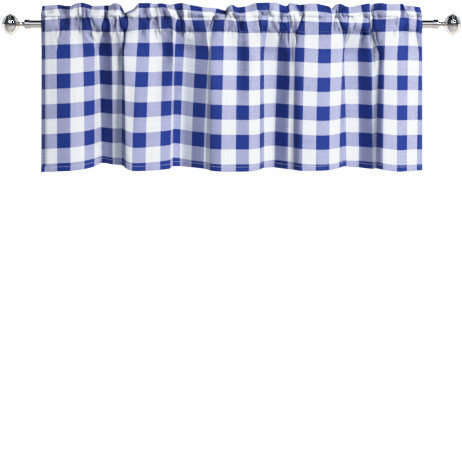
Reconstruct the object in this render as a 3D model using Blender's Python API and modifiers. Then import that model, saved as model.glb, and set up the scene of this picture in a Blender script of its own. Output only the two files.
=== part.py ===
"""A gingham window valance gathered on a polished curtain rod.

X runs along the rod, Y from the room side (-) to the wall side (+), and Z is up.
The origin is on the rod's axis, half way between its ends. All sizes are in metres.

The valance is one sheet. From the hem it goes up the skirt, over the front of the rod,
up the front of the ruffle, over its top fold, down the back of the ruffle, behind the rod
and back to the lower seam. Distances across the cloth are counted in checks of its gingham.
"""

import math
from collections import namedtuple

import bmesh
import bpy

# ---- rod and its ends ----
ROD_DIAMETER = 0.019
ROD_WALL = 0.001
ROD_LENGTH = 0.968
COLLAR_DIAMETER = 0.0228
COLLAR_LENGTH = 0.0124
COLLAR_END_WALL = 0.002
COLLAR_ROUNDING = 0.0016
NECK_LENGTH = 0.0125
NECK_RADIUS = 0.0048
BEAD_RADIUS = 0.0062
BEAD_COUNT = 2
BALL_RADIUS = 0.0230
BALL_INNER_DEPTH = 0.0205
BALL_OUTER_DEPTH = 0.0190
BAND_RADIUS = 0.0254
BAND_WIDTH = 0.0050
BAND_SHOULDER = 60.0
PIECE_GAP = 0.0003
TURNING_STEPS = 32
MERGE_DISTANCE = 0.00001

# ---- cloth, laid flat ----
CHECKS_ACROSS = 38
FLAT_WIDTH = 1.321
CHECK = FLAT_WIDTH / CHECKS_ACROSS
SKIRT_LENGTH = 0.3255
CLOTH_THICKNESS = 0.0011
SEAM_ALLOWANCE = 0.007

# ---- cloth, gathered on the rod ----
SEAM_HEIGHT = 0.0170
ROD_CLEARANCE = 0.0033
SHOULDER_HEIGHT = 0.0100
SHOULDER_DEPTH = 0.0108
LAYER_SPACING = 0.0018
TOP_FOLD_WIDTH = 0.0032
SEAM_WAVE = 0.0080
EVEN_FULLNESS = 0.5
LEAST_FULLNESS = 0.05
SEAM_SHARE_OF_FOLDS = 0.25
POCKET_PUFF = 0.0050
UPPER_LEVEL = 0.050
FOLD_SETTLING = 1.6
HEM_FLARE = 0.010
COLUMNS_PER_CHECK = 3

FIRST_STRIPE_CHECKS = 0.4

# Each blue stripe of the gingham, from left to right: where its left and right edges lie
# at the pocket, at the upper level of the skirt and at the hem, and how much higher than an
# even hang the cloth is pulled there.
Stripe = namedtuple(
    "Stripe",
    "pocket_left pocket_right upper_left upper_right hem_left hem_right upper_lift hem_lift",
)
STRIPES = (
    Stripe(-0.446, -0.437, -0.446, -0.437, -0.446, -0.437, 0.0030, -0.0056),
    Stripe(-0.404, -0.378, -0.410, -0.377, -0.408, -0.376, 0.0015, -0.0024),
    Stripe(-0.350, -0.328, -0.348, -0.321, -0.344, -0.322, 0.0050, 0.0040),
    Stripe(-0.306, -0.282, -0.313, -0.280, -0.307, -0.279, 0.0080, 0.0104),
    Stripe(-0.267, -0.240, -0.256, -0.2515, -0.2575, -0.247, 0.0065, 0.0073),
    Stripe(-0.219, -0.191, -0.2215, -0.192, -0.232, -0.2005, 0.0045, -0.0013),
    Stripe(-0.164, -0.138, -0.162, -0.136, -0.167, -0.1435, 0.0020, 0.0008),
    Stripe(-0.132, -0.105, -0.133, -0.1115, -0.139, -0.1215, 0.0080, 0.0034),
    Stripe(-0.093, -0.060, -0.084, -0.053, -0.094, -0.0645, 0.0030, 0.0031),
    Stripe(-0.050, -0.016, -0.048, -0.018, -0.050, -0.024, 0.0010, -0.0010),
    Stripe(0.012, 0.037, 0.013, 0.042, 0.010, 0.041, 0.0015, -0.0027),
    Stripe(0.064, 0.087, 0.0675, 0.0765, 0.066, 0.077, 0.0000, 0.0007),
    Stripe(0.109, 0.134, 0.109, 0.1385, 0.102, 0.1325, 0.0000, 0.0005),
    Stripe(0.157, 0.172, 0.149, 0.171, 0.146, 0.1655, 0.0005, -0.0006),
    Stripe(0.204, 0.235, 0.203, 0.2335, 0.197, 0.229, -0.0020, -0.0007),
    Stripe(0.254, 0.276, 0.2615, 0.2655, 0.253, 0.2715, -0.0015, 0.0039),
    Stripe(0.305, 0.324, 0.2975, 0.3295, 0.301, 0.3315, 0.0000, 0.0005),
    Stripe(0.330, 0.3615, 0.3465, 0.3585, 0.339, 0.3535, 0.0000, 0.0036),
    Stripe(0.392, 0.416, 0.388, 0.4145, 0.386, 0.411, -0.0015, -0.0031),
    Stripe(0.433, 0.448, 0.441, 0.449, 0.4355, 0.449, -0.0015, -0.0035),
)

# The skirt's folds: how far across the cloth each line is and its depth (+ to the wall) at the
# upper level and at the hem. Each fold drops steeply on its left and comes forward on its right.
Fold = namedtuple("Fold", "checks upper_depth hem_depth")
FOLDS = (
    Fold(0.0, -0.009, -0.015),
    Fold(0.4, -0.009, -0.016),
    Fold(1.4, -0.011, -0.019),
    Fold(2.4, -0.013, -0.024),
    Fold(3.4, -0.007, -0.018),
    Fold(4.4, -0.003, 0.002),
    Fold(5.2, 0.016, 0.031),
    Fold(5.5, 0.015, 0.030),
    Fold(6.4, -0.004, 0.007),
    Fold(7.3, -0.006, 0.003),
    Fold(7.6, -0.008, 0.000),
    Fold(8.2, -0.016, -0.022),
    Fold(8.4, -0.017, -0.025),
    Fold(9.4, -0.016, -0.030),
    Fold(10.4, -0.013, -0.024),
    Fold(11.4, -0.006, -0.017),
    Fold(12.4, -0.016, -0.001),
    Fold(13.4, 0.012, 0.024),
    Fold(14.4, 0.010, 0.023),
    Fold(15.4, 0.005, 0.009),
    Fold(16.3, -0.012, -0.012),
    Fold(17.1, -0.015, -0.017),
    Fold(17.4, -0.018, -0.026),
    Fold(17.7, -0.018, -0.029),
    Fold(18.4, -0.011, -0.034),
    Fold(19.4, -0.004, -0.028),
    Fold(20.4, -0.017, -0.027),
    Fold(21.4, -0.007, -0.011),
    Fold(22.4, 0.010, 0.017),
    Fold(23.2, 0.012, 0.025),
    Fold(24.3, -0.009, -0.001),
    Fold(25.2, -0.012, -0.008),
    Fold(26.2, -0.017, -0.027),
    Fold(26.6, -0.016, -0.028),
    Fold(27.4, -0.014, -0.027),
    Fold(28.4, -0.008, -0.020),
    Fold(29.4, 0.001, -0.003),
    Fold(30.4, 0.015, 0.022),
    Fold(31.3, 0.014, 0.022),
    Fold(32.3, -0.006, -0.003),
    Fold(33.2, -0.009, -0.009),
    Fold(34.2, -0.018, -0.031),
    Fold(34.6, -0.019, -0.033),
    Fold(35.4, -0.017, -0.030),
    Fold(36.4, -0.008, -0.015),
    Fold(37.4, 0.002, -0.001),
    Fold(38.0, 0.004, 0.003),
)

# The top edge of the ruffle: distance across the cloth, height above the rod's axis, and how
# far the edge leans to the wall (+) or the room (-).
TopPoint = namedtuple("TopPoint", "checks height lean")
TOP_EDGE = (
    TopPoint(0.0, 0.041, -0.002),
    TopPoint(2.2, 0.043, 0.006),
    TopPoint(3.4, 0.049, -0.005),
    TopPoint(5.2, 0.040, 0.004),
    TopPoint(6.9, 0.048, -0.005),
    TopPoint(8.1, 0.030, 0.005),
    TopPoint(10.2, 0.049, -0.004),
    TopPoint(12.2, 0.046, 0.004),
    TopPoint(13.6, 0.048, -0.002),
    TopPoint(16.6, 0.041, -0.006),
    TopPoint(18.2, 0.035, 0.006),
    TopPoint(19.2, 0.043, -0.005),
    TopPoint(20.6, 0.041, 0.003),
    TopPoint(22.6, 0.051, -0.005),
    TopPoint(24.4, 0.044, 0.005),
    TopPoint(26.8, 0.048, -0.005),
    TopPoint(28.6, 0.043, 0.002),
    TopPoint(29.8, 0.044, 0.006),
    TopPoint(31.0, 0.037, -0.004),
    TopPoint(33.0, 0.051, 0.004),
    TopPoint(34.6, 0.047, -0.005),
    TopPoint(36.2, 0.045, 0.004),
    TopPoint(38.0, 0.038, -0.002),
)

# Where the gathers pinch the heading: distance across the cloth, how flat the ruffle is
# pressed there (1 is closed), and half the width of the pinch in checks.
Pinch = namedtuple("Pinch", "checks closed half_width")
PINCHES = (
    Pinch(1.7, 0.35, 0.5),
    Pinch(3.0, 0.50, 0.4),
    Pinch(4.3, 0.65, 0.4),
    Pinch(5.9, 0.85, 0.5),
    Pinch(8.0, 0.95, 0.6),
    Pinch(9.6, 0.40, 0.4),
    Pinch(10.9, 0.70, 0.4),
    Pinch(13.6, 0.90, 0.6),
    Pinch(15.0, 0.35, 0.4),
    Pinch(17.2, 0.70, 0.5),
    Pinch(18.7, 0.90, 0.5),
    Pinch(20.8, 0.45, 0.4),
    Pinch(22.3, 0.55, 0.4),
    Pinch(23.4, 0.55, 0.4),
    Pinch(25.0, 0.70, 0.4),
    Pinch(29.1, 0.95, 0.6),
    Pinch(31.2, 0.50, 0.5),
    Pinch(32.9, 0.90, 0.9),
    Pinch(36.0, 0.75, 0.5),
    Pinch(37.2, 0.45, 0.4),
)

# Levels of the skirt where the sheet has a row of points, as distances below the lower seam.
SKIRT_ROWS = (SKIRT_LENGTH, 0.268, 0.206, 0.144, 0.088, UPPER_LEVEL, 0.028, 0.010, 0.0)

# Levels of the ruffle between its seam and its top edge: share of its height there, and how far
# each layer bulges from the middle.
RuffleLevel = namedtuple("RuffleLevel", "share bulge")
RUFFLE_ROWS = (
    RuffleLevel(0.35, 0.0110),
    RuffleLevel(0.80, 0.0060),
)

CLOTH_COLOUR = (0.34, 0.38, 0.68, 1.0)
CLOTH_ROUGHNESS = 0.75
STEEL_COLOUR = (0.62, 0.61, 0.60, 1.0)
STEEL_ROUGHNESS = 0.18


# ---- helpers ----

def clear_scene():
    for item in list(bpy.data.objects):
        bpy.data.objects.remove(item, do_unlink=True)


def new_collection(name):
    collection = bpy.data.collections.new(name)
    bpy.context.scene.collection.children.link(collection)
    return collection


def new_material(name, colour, roughness, metallic):
    material = bpy.data.materials.new(name)
    material.use_nodes = True
    shader = material.node_tree.nodes["Principled BSDF"]
    shader.inputs["Base Color"].default_value = colour
    shader.inputs["Roughness"].default_value = roughness
    shader.inputs["Metallic"].default_value = metallic
    material.diffuse_color = colour
    return material


def blend(start, end, share):
    return start + (end - start) * share


def settle(share):
    """Ease out: folds form quickly below the seam and change little near the hem."""
    return 1.0 - (1.0 - share) ** FOLD_SETTLING


def slope_between(before, after):
    """Slope at a point of a curve that never overshoots its neighbours."""
    if before * after <= 0.0:
        return 0.0
    return 2.0 * before * after / (before + after)


def smooth_curve(places, values):
    """A smooth curve through (place, value) pairs, as a function of the place."""
    count = len(places)
    spans = [places[i + 1] - places[i] for i in range(count - 1)]
    rises = [(values[i + 1] - values[i]) / spans[i] for i in range(count - 1)]
    slopes = [rises[0]]
    slopes += [slope_between(rises[i - 1], rises[i]) for i in range(1, count - 1)]
    slopes += [rises[-1]]

    def value_at(place):
        index = 0
        while index < count - 2 and place > places[index + 1]:
            index += 1
        share = (place - places[index]) / spans[index]
        rest = 1.0 - share
        from_start = (1.0 + 2.0 * share) * rest * rest * values[index]
        from_end = (3.0 - 2.0 * share) * share * share * values[index + 1]
        leaning = share * rest * rest * slopes[index] - share * share * rest * slopes[index + 1]
        return from_start + from_end + leaning * spans[index]

    return value_at


def stripe_edges():
    """Distances across the cloth, in checks, of the edges of all the blue stripes."""
    edges = [0.0, FIRST_STRIPE_CHECKS]
    while len(edges) < 2 * len(STRIPES) - 1:
        edges.append(edges[-1] + 1.0)
    edges.append(float(CHECKS_ACROSS))
    return edges


def stripe_curve(left, right):
    """Place along the rod, as a curve over the distance across the cloth."""
    places = []
    for stripe in STRIPES:
        places.append(getattr(stripe, left))
        places.append(getattr(stripe, right))
    return smooth_curve(stripe_edges(), places)


def table_curve(table, column):
    return smooth_curve([line.checks for line in table], [getattr(line, column) for line in table])


def lift_curve(column):
    """How much the cloth is pulled up, as a curve over the distance across the cloth."""
    edges = stripe_edges()
    middles = [(edges[2 * number] + edges[2 * number + 1]) / 2.0 for number in range(len(STRIPES))]
    middles[0] = edges[0]
    middles[-1] = edges[-1]
    return smooth_curve(middles, [getattr(stripe, column) for stripe in STRIPES])


POCKET_ALONG = stripe_curve("pocket_left", "pocket_right")
UPPER_ALONG = stripe_curve("upper_left", "upper_right")
HEM_ALONG = stripe_curve("hem_left", "hem_right")
UPPER_DEPTH = table_curve(FOLDS, "upper_depth")
HEM_DEPTH = table_curve(FOLDS, "hem_depth")
UPPER_LIFT = lift_curve("upper_lift")
HEM_LIFT = lift_curve("hem_lift")
TOP_HEIGHT = table_curve(TOP_EDGE, "height")
TOP_LEAN = table_curve(TOP_EDGE, "lean")


def fullness(checks):
    """How far the heading puffs out: 1 between the pinches, near 0 in them."""
    full = 1.0
    for pinch in PINCHES:
        distance = (checks - pinch.checks) / pinch.half_width
        full -= pinch.closed * math.exp(-distance * distance)
    return max(full, LEAST_FULLNESS)


def seam_depth(checks):
    """The seams wander a little to and fro: back at a pinch, forward at a puff."""
    wave = SEAM_WAVE * (EVEN_FULLNESS - fullness(checks))
    return wave + SEAM_SHARE_OF_FOLDS * UPPER_DEPTH(checks)


# ---- the sheet ----

def middle_point(checks, below):
    """A point midway between the heading's two layers, at a distance below the lower seam."""
    if below < UPPER_LEVEL:
        share = below / UPPER_LEVEL
        along = blend(POCKET_ALONG(checks), UPPER_ALONG(checks), share)
        depth = blend(seam_depth(checks), UPPER_DEPTH(checks), share)
        lift = share * UPPER_LIFT(checks)
    else:
        share = settle((below - UPPER_LEVEL) / (SKIRT_LENGTH - UPPER_LEVEL))
        along = blend(UPPER_ALONG(checks), HEM_ALONG(checks), share)
        depth = blend(UPPER_DEPTH(checks), HEM_DEPTH(checks), share)
        lift = blend(UPPER_LIFT(checks), HEM_LIFT(checks), share)
    along *= 1.0 + HEM_FLARE * below / SKIRT_LENGTH
    return along, depth, lift - SEAM_HEIGHT - below


def layer_point(checks, below, distance):
    """A point set off the middle by a distance to the wall, square to the folds there."""
    step = 1.0 / COLUMNS_PER_CHECK
    along, depth, height = middle_point(checks, below)
    before = middle_point(max(checks - step, 0.0), below)
    after = middle_point(min(checks + step, float(CHECKS_ACROSS)), below)
    run = after[0] - before[0]
    rise = after[1] - before[1]
    length = math.hypot(run, rise)
    return along - distance * rise / length, depth + distance * run / length, height


def skirt_point(checks, below):
    """A point of the skirt, which is the front layer at the seam and hangs in the middle lower down."""
    share = max(0.0, 1.0 - below / UPPER_LEVEL)
    return layer_point(checks, below, -share * LAYER_SPACING / 2.0)


def upper_seam_point(checks, side):
    """A point of the front (-1) or back (1) layer where the ruffle meets the pocket."""
    along, depth, height = layer_point(checks, 0.0, side * LAYER_SPACING / 2.0)
    return along, depth, height + 2.0 * SEAM_HEIGHT


def pocket_point(checks, height, side):
    """A point of the layer that passes in front of the rod (-1) or behind it (1)."""
    front = ROD_DIAMETER / 2.0 + ROD_CLEARANCE if height == 0.0 else SHOULDER_DEPTH
    puffed = front + POCKET_PUFF * fullness(checks)
    return POCKET_ALONG(checks), side * puffed, height


def ruffle_point(checks, level, side):
    """A point of the ruffle's front (-1) or back (1) layer, at one of its levels."""
    along = POCKET_ALONG(checks)
    height = blend(SEAM_HEIGHT, TOP_HEIGHT(checks), level.share)
    middle = blend(seam_depth(checks), TOP_LEAN(checks), level.share)
    return along, middle + side * (LAYER_SPACING / 2.0 + level.bulge * fullness(checks)), height


def top_point(checks, side):
    return POCKET_ALONG(checks), TOP_LEAN(checks) + side * TOP_FOLD_WIDTH / 2.0, TOP_HEIGHT(checks)


def sheet_rows():
    """One function of the distance across the cloth for each row of points, from the hem round."""
    rows = [lambda checks, below=below: skirt_point(checks, below) for below in SKIRT_ROWS]
    for height in (-SHOULDER_HEIGHT, 0.0, SHOULDER_HEIGHT):
        rows.append(lambda checks, height=height: pocket_point(checks, height, -1))
    rows.append(lambda checks: upper_seam_point(checks, -1))
    for level in RUFFLE_ROWS:
        rows.append(lambda checks, level=level: ruffle_point(checks, level, -1))
    rows.append(lambda checks: top_point(checks, -1))
    rows.append(lambda checks: top_point(checks, 1))
    for level in reversed(RUFFLE_ROWS):
        rows.append(lambda checks, level=level: ruffle_point(checks, level, 1))
    rows.append(lambda checks: upper_seam_point(checks, 1))
    for height in (SHOULDER_HEIGHT, 0.0, -SHOULDER_HEIGHT):
        rows.append(lambda checks, height=height: pocket_point(checks, height, 1))
    rows.append(lambda checks: layer_point(checks, 0.0, LAYER_SPACING / 2.0))
    rows.append(lambda checks: layer_point(checks, SEAM_ALLOWANCE, LAYER_SPACING / 2.0))
    return rows


def sheet_columns():
    """Distances across the cloth, in checks, of the columns of points."""
    edges = stripe_edges()
    columns = [edges[0], edges[1] / 2.0]
    for left, right in zip(edges[1:-2], edges[2:-1]):
        columns += [blend(left, right, step / COLUMNS_PER_CHECK) for step in range(COLUMNS_PER_CHECK)]
    columns += [edges[-2], (edges[-2] + edges[-1]) / 2.0, edges[-1]]
    return columns


def build_cloth(collection):
    rows = sheet_rows()
    columns = sheet_columns()
    mesh = bpy.data.meshes.new("valance_cloth")
    shape = bmesh.new()
    bmesh.ops.create_grid(shape, x_segments=len(columns) - 1, y_segments=len(rows) - 1, size=1.0)
    shape.verts.ensure_lookup_table()
    for index, vertex in enumerate(shape.verts):
        row, column = divmod(index, len(columns))
        vertex.co = rows[row](columns[column])
    bmesh.ops.recalc_face_normals(shape, faces=shape.faces)
    shape.to_mesh(mesh)
    shape.free()
    mesh.shade_smooth()
    cloth = bpy.data.objects.new("valance_cloth", mesh)
    collection.objects.link(cloth)
    thicken = cloth.modifiers.new("cloth thickness", "SOLIDIFY")
    thicken.thickness = CLOTH_THICKNESS
    thicken.offset = 0.0
    mesh.materials.append(new_material("gingham cloth", CLOTH_COLOUR, CLOTH_ROUGHNESS, 0.0))
    return cloth


# ---- rod, collars and finials ----

def turned_piece(name, outline, collection, place, turn):
    """A solid turned about the rod's axis from an outline of (radius, distance) points."""
    mesh = bpy.data.meshes.new(name)
    points = [(radius, 0.0, distance) for radius, distance in outline]
    mesh.from_pydata(points, [(i, i + 1) for i in range(len(points) - 1)], [])
    piece = bpy.data.objects.new(name, mesh)
    collection.objects.link(piece)
    screw = piece.modifiers.new("turning", "SCREW")
    screw.axis = "Z"
    screw.steps = TURNING_STEPS
    screw.render_steps = TURNING_STEPS
    screw.use_merge_vertices = True
    screw.merge_threshold = MERGE_DISTANCE
    screw.use_smooth_shade = True
    piece.location = (place, 0.0, 0.0)
    piece.rotation_euler = (0.0, turn, 0.0)
    mesh.materials.append(new_material(name + " steel", STEEL_COLOUR, STEEL_ROUGHNESS, 1.0))
    return piece


def build_rod(collection):
    bpy.ops.mesh.primitive_cylinder_add(
        vertices=TURNING_STEPS, radius=ROD_DIAMETER / 2.0, depth=ROD_LENGTH, end_fill_type="NOTHING",
        rotation=(0.0, math.pi / 2.0, 0.0))
    rod = bpy.context.active_object
    rod.name = "rod"
    rod.data.name = "rod"
    for owner in list(rod.users_collection):
        owner.objects.unlink(rod)
    collection.objects.link(rod)
    wall = rod.modifiers.new("tube wall", "SOLIDIFY")
    wall.thickness = ROD_WALL
    wall.offset = -1.0
    rod.data.shade_smooth()
    rod.data.materials.append(new_material("rod steel", STEEL_COLOUR, STEEL_ROUGHNESS, 1.0))
    return rod


def rounded_corner(radius, distance, rounding, start, end, steps=3):
    """Points on a quarter circle whose centre is at (radius, distance)."""
    points = []
    for step in range(steps + 1):
        angle = math.radians(blend(start, end, step / steps))
        points.append((radius + rounding * math.cos(angle), distance + rounding * math.sin(angle)))
    return points


def collar_outline():
    """A cup that fits over the rod's end, with its closed end at distance COLLAR_LENGTH."""
    outer = COLLAR_DIAMETER / 2.0
    bore = ROD_DIAMETER / 2.0 + PIECE_GAP
    centre = outer - COLLAR_ROUNDING
    outline = [(0.0, COLLAR_LENGTH)]
    outline += rounded_corner(centre, COLLAR_LENGTH - COLLAR_ROUNDING, COLLAR_ROUNDING, 90, 0)
    outline += [(outer, COLLAR_ROUNDING), (bore + PIECE_GAP, 0.0), (bore, 0.0)]
    outline += [(bore, COLLAR_LENGTH - COLLAR_END_WALL), (0.0, COLLAR_LENGTH - COLLAR_END_WALL)]
    return outline


def neck_outline():
    """The beaded neck, from the ball down to the collar."""
    outline = []
    bead_length = NECK_LENGTH / BEAD_COUNT
    steps = 4
    for bead in range(BEAD_COUNT):
        top = NECK_LENGTH - bead * bead_length
        for step in range(steps):
            share = step / steps
            swell = math.sin(math.pi * share) ** 2
            outline.append((blend(NECK_RADIUS, BEAD_RADIUS, swell), top - share * bead_length))
    outline.append((NECK_RADIUS, 0.0))
    return outline


def finial_outline():
    """The ball with its band, then the neck; distances run from the collar to the tip."""
    middle = NECK_LENGTH + BALL_INNER_DEPTH
    ball_steps = 8
    half_band = math.asin(BAND_WIDTH / 2.0 / BALL_OUTER_DEPTH)
    outline = []
    for step in range(ball_steps + 1):
        angle = blend(math.pi / 2.0, half_band, step / ball_steps)
        outline.append((BALL_RADIUS * math.cos(angle), middle + BALL_OUTER_DEPTH * math.sin(angle)))
    for lean in (BAND_SHOULDER, 0.0, -BAND_SHOULDER):
        angle = math.radians(lean)
        rise = (BAND_RADIUS - BALL_RADIUS) * math.cos(angle)
        outline.append((BALL_RADIUS + rise, middle + BAND_WIDTH / 2.0 * math.sin(angle)))
    last_angle = math.acos(NECK_RADIUS / BALL_RADIUS)
    for step in range(ball_steps):
        angle = blend(half_band, last_angle, step / ball_steps)
        outline.append((BALL_RADIUS * math.cos(angle), middle - BALL_INNER_DEPTH * math.sin(angle)))
    outline[0] = (0.0, middle + BALL_OUTER_DEPTH)
    return outline + neck_outline() + [(0.0, 0.0)]


def build_end(side, word, collection):
    """The collar and finial at the left (-1) or right (1) end of the rod."""
    turn = side * math.pi / 2.0
    collar_start = ROD_LENGTH / 2.0 + PIECE_GAP + COLLAR_END_WALL - COLLAR_LENGTH
    finial_start = collar_start + COLLAR_LENGTH + PIECE_GAP
    turned_piece("collar_" + word, collar_outline(), collection, side * collar_start, turn)
    turned_piece("finial_" + word, finial_outline(), collection, side * finial_start, turn)


def main():
    clear_scene()
    collection = new_collection("window valance")
    build_cloth(collection)
    build_rod(collection)
    build_end(-1, "left", collection)
    build_end(1, "right", collection)


main()
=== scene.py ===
"""A gingham window valance gathered on a polished curtain rod.

X runs along the rod, Y from the room side (-) to the wall side (+), and Z is up.
The origin is on the rod's axis, half way between its ends. Sizes are in metres, but those of
the knots, creases and puckers are in millimetres.

The cloth is one sheet with turned hems. From the hem it goes up the skirt, over the front of
the rod, up the front of the ruffle, over its top fold, down the back of the ruffle, behind the
rod and back to the lower seam. A place on it is a distance across, in checks of the gingham,
and a distance up from the lower seam, measured along the cloth.
"""

import math
import random
from collections import namedtuple

import bpy
import numpy as np
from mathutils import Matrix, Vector


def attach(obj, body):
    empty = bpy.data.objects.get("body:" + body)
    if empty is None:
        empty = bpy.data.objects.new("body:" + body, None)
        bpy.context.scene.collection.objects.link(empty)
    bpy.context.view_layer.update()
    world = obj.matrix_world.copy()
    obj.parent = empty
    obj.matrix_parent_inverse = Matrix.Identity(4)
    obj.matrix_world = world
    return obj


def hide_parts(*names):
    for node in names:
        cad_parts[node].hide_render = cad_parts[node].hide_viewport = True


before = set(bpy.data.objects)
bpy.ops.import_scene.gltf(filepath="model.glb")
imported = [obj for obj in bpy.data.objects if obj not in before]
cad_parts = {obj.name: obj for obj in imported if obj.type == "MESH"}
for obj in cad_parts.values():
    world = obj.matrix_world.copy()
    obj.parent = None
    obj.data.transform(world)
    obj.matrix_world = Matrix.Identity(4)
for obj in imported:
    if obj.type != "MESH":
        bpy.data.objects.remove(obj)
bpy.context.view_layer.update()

# ---- rod and its ends ----
ROD_DIAMETER = 0.019
ROD_RADIUS = ROD_DIAMETER / 2.0
ROD_LENGTH = 0.968
COLLAR_DIAMETER = 0.0228
COLLAR_LENGTH = 0.0124
COLLAR_END_WALL = 0.002
NECK_LENGTH = 0.0125
NECK_RADIUS = 0.0048
BEAD_RADIUS = 0.0062
BALL_RADIUS = 0.0230
BALL_INNER_DEPTH = 0.0205
BALL_OUTER_DEPTH = 0.0190
BAND_RADIUS = 0.0254
BAND_WIDTH = 0.0050
PIECE_GAP = 0.0003
ROD_WALL = 0.001
COLLAR_ROUNDING = 0.0016
RIM_EASE = 0.0003
ROUNDING_STEPS = 6
BEAD_COUNT = 2
BEAD_STEPS = 10
BALL_STEPS = 16
TIP_ANGLE = 88.5
BAND_ANGLES = (-75.0, -50.0, -25.0, 0.0, 25.0, 50.0, 75.0)
TURNED_SIDES = 96
EDGE_ANGLE = 35.0

# ---- cloth, laid flat ----
CHECKS_ACROSS = 38
FLAT_WIDTH = 1.321
CHECK = FLAT_WIDTH / CHECKS_ACROSS
SKIRT_LENGTH = 0.3255
POCKET_LENGTH = 0.0445
RUFFLE_LENGTH = 0.0405
HEM_DEPTH_FLAT = 0.012
SIDE_HEM = 0.008
SEAM_ALLOWANCE = 0.009
FIRST_STRIPE_CHECKS = 0.4
ROW_START = 0.0015
CLOTH_THICKNESS = 0.0005
TURNED_GAP = 0.00075
WOVEN_THREAD = 0.00042

# ---- cloth, gathered on the rod ----
# FOLD_GAIN deepens all of the skirt's folds, and FOLD_SETTLING makes them take their shape
# sooner than evenly below UPPER_LEVEL.
SEAM_HEIGHT = 0.0170
LAYER_SPACING = 0.0024
TOP_FOLD_WIDTH = 0.0030
SEAM_WAVE = 0.0080
SEAM_FORWARD = 0.009
SEAM_SHARE_OF_FOLDS = 0.25
EVEN_FULLNESS = 0.5
LEAST_FULLNESS = 0.05
ROD_CLEARANCE = 0.0024
POCKET_CLEARANCE = 0.0028
POCKET_PUFF = 0.0055
RUFFLE_BULGE = 0.0080
BULGE_RISE = 0.8
STRIP_SPREAD = 0.35
UPPER_LEVEL = 0.050
FOLD_SETTLING = 1.6
FOLD_GAIN = 1.12
HEM_FLARE = 0.010
MIDDLE_DRIFT = 0.0016
HEADING_DRIFT_REACH = 0.025

# ---- the turned-back left edge ----
LEFT_EDGE = -0.4440
EDGE_CURL = 0.0065
EDGE_CURL_WIDTH = 0.0085

# ---- creases and puckers; a pucker's sizes are in millimetres, as in the tables ----
# A crease reaches CREASE_START_REACH back past its start, and fades over the last
# 1 / CREASE_FADE of its length. None is drawn past LAST_CREASE on either side.
MM = 0.001
LAST_CREASE = 0.447
LAST_CREASE_FADE = 0.012
CREASE_START_REACH = 0.004
CREASE_FADE = 1.6
GROOVE_ROUNDNESS = 1.5
# The next two set the shade painted into a groove: how much narrower than the groove it is, and the depth
# in millimetres at which it is fullest.
SHADE_NARROWING = 1.3
FULL_SHADE_DEPTH = 6.0
KNOT_DRAW_UP = 0.6
PUCKER_SEED = 7
PUCKERS = 260
PUCKER_REACH = 440
PUCKERED_LEVELS = (-17, 17)
PUCKER_LENGTHS = (9, 20)
PUCKER_LEAN = 5
PUCKER_DEPTHS = (1.0, 2.9)
PUCKER_WIDTHS = (1.8, 3.2)

# ---- rows and columns of the cloth's mesh ----
# The hem's fold has a row of its own, which lies HEM_TURN_UP above the fold's lowest line and
# HEM_TURN_LENGTH on from it round the fold, at a share of the gap to the inner layer.
HEM_TURN_UP = 0.0002
HEM_TURN_LENGTH = 0.0003
HEM_TURN_SHARE = 0.7
HEM_FOLD = 0.0012
HEM_ROWS = (0.0, HEM_FOLD, 0.005, 0.012)
SKIRT_BOTTOM_ROW = 0.022
SKIRT_TOP_ROW = 0.098
SKIRT_ROWS = 11
UPPER_BOTTOM_ROW = 0.088
UPPER_ROWS = 16
POCKET_STEPS = 12
RUFFLE_STEPS = 14
BACK_RUFFLE_SHARES = (1.0, 0.9, 0.75, 0.6, 0.45, 0.3, 0.15, 0.0)
BACK_STEPS = 7
TURNED_ROWS = 4
COLUMNS = 596
PLACES_A_CHECK = 20
FINE_CREASE = 3.0
CROWDING = 2.6
CROWDING_REACH = 0.003
MOST_CROWDED = 5.0
SIDE_HEM_COLUMNS = 8
EDGE_INSET = 0.0006
EDGE_TURN = 0.0004

# ---- sewing thread ----
STITCH_SPACING = 0.0030
STITCH_LENGTH = 0.0026
THREAD_SIDES = 5
SIDE_STITCHING = 0.0065
HEM_STITCHING = 0.0112
SIDE_STITCHING_START = 0.001
STITCHED_RUFFLE = 0.8
STITCHED_LEVELS = (HEM_STITCHING - SKIRT_LENGTH, 0.0, POCKET_LENGTH)
# A stitch from end to end: a share of its length, the thread's radius there, and how high its
# middle lies above the cloth.
STITCH_RINGS = (
    (0.0, 0.00010, -0.00010),
    (0.15, 0.00024, 0.00006),
    (0.5, 0.00027, 0.00014),
    (0.85, 0.00024, 0.00006),
    (1.0, 0.00010, -0.00010),
)

# Each blue stripe of the gingham in the heading, from left to right: where its left and right
# edges lie at the ruffle's top, at the upper seam and at the lower seam.
HeadingStripe = namedtuple("HeadingStripe", "top_left top_right high_left high_right low_left low_right")
HEADING_STRIPES = [HeadingStripe(*row) for row in (
    (-0.444, -0.437, -0.446, -0.436, -0.446, -0.437),
    (-0.408, -0.378, -0.401, -0.377, -0.403, -0.378),
    (-0.353, -0.327, -0.351, -0.330, -0.350, -0.327),
    (-0.299, -0.287, -0.300, -0.287, -0.306, -0.282),
    (-0.262, -0.245, -0.260, -0.242, -0.257, -0.245),
    (-0.217, -0.190, -0.218, -0.191, -0.218, -0.192),
    (-0.173, -0.153, -0.165, -0.140, -0.164, -0.138),
    (-0.134, -0.115, -0.129, -0.109, -0.132, -0.108),
    (-0.097, -0.069, -0.094, -0.065, -0.087, -0.058),
    (-0.036, -0.015, -0.040, -0.016, -0.047, -0.018),
    (0.002, 0.032, 0.009, 0.034, 0.015, 0.040),
    (0.058, 0.090, 0.063, 0.088, 0.067, 0.083),
    (0.112, 0.135, 0.112, 0.136, 0.112, 0.136),
    (0.151, 0.170, 0.164, 0.172, 0.152, 0.172),
    (0.200, 0.233, 0.204, 0.234, 0.204, 0.234),
    (0.251, 0.275, 0.251, 0.276, 0.261, 0.273),
    (0.304, 0.324, 0.308, 0.324, 0.303, 0.323),
    (0.334, 0.364, 0.332, 0.362, 0.327, 0.361),
    (0.395, 0.405, 0.393, 0.416, 0.392, 0.416),
    (0.428, 0.443, 0.434, 0.447, 0.432, 0.447),
)]

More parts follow.
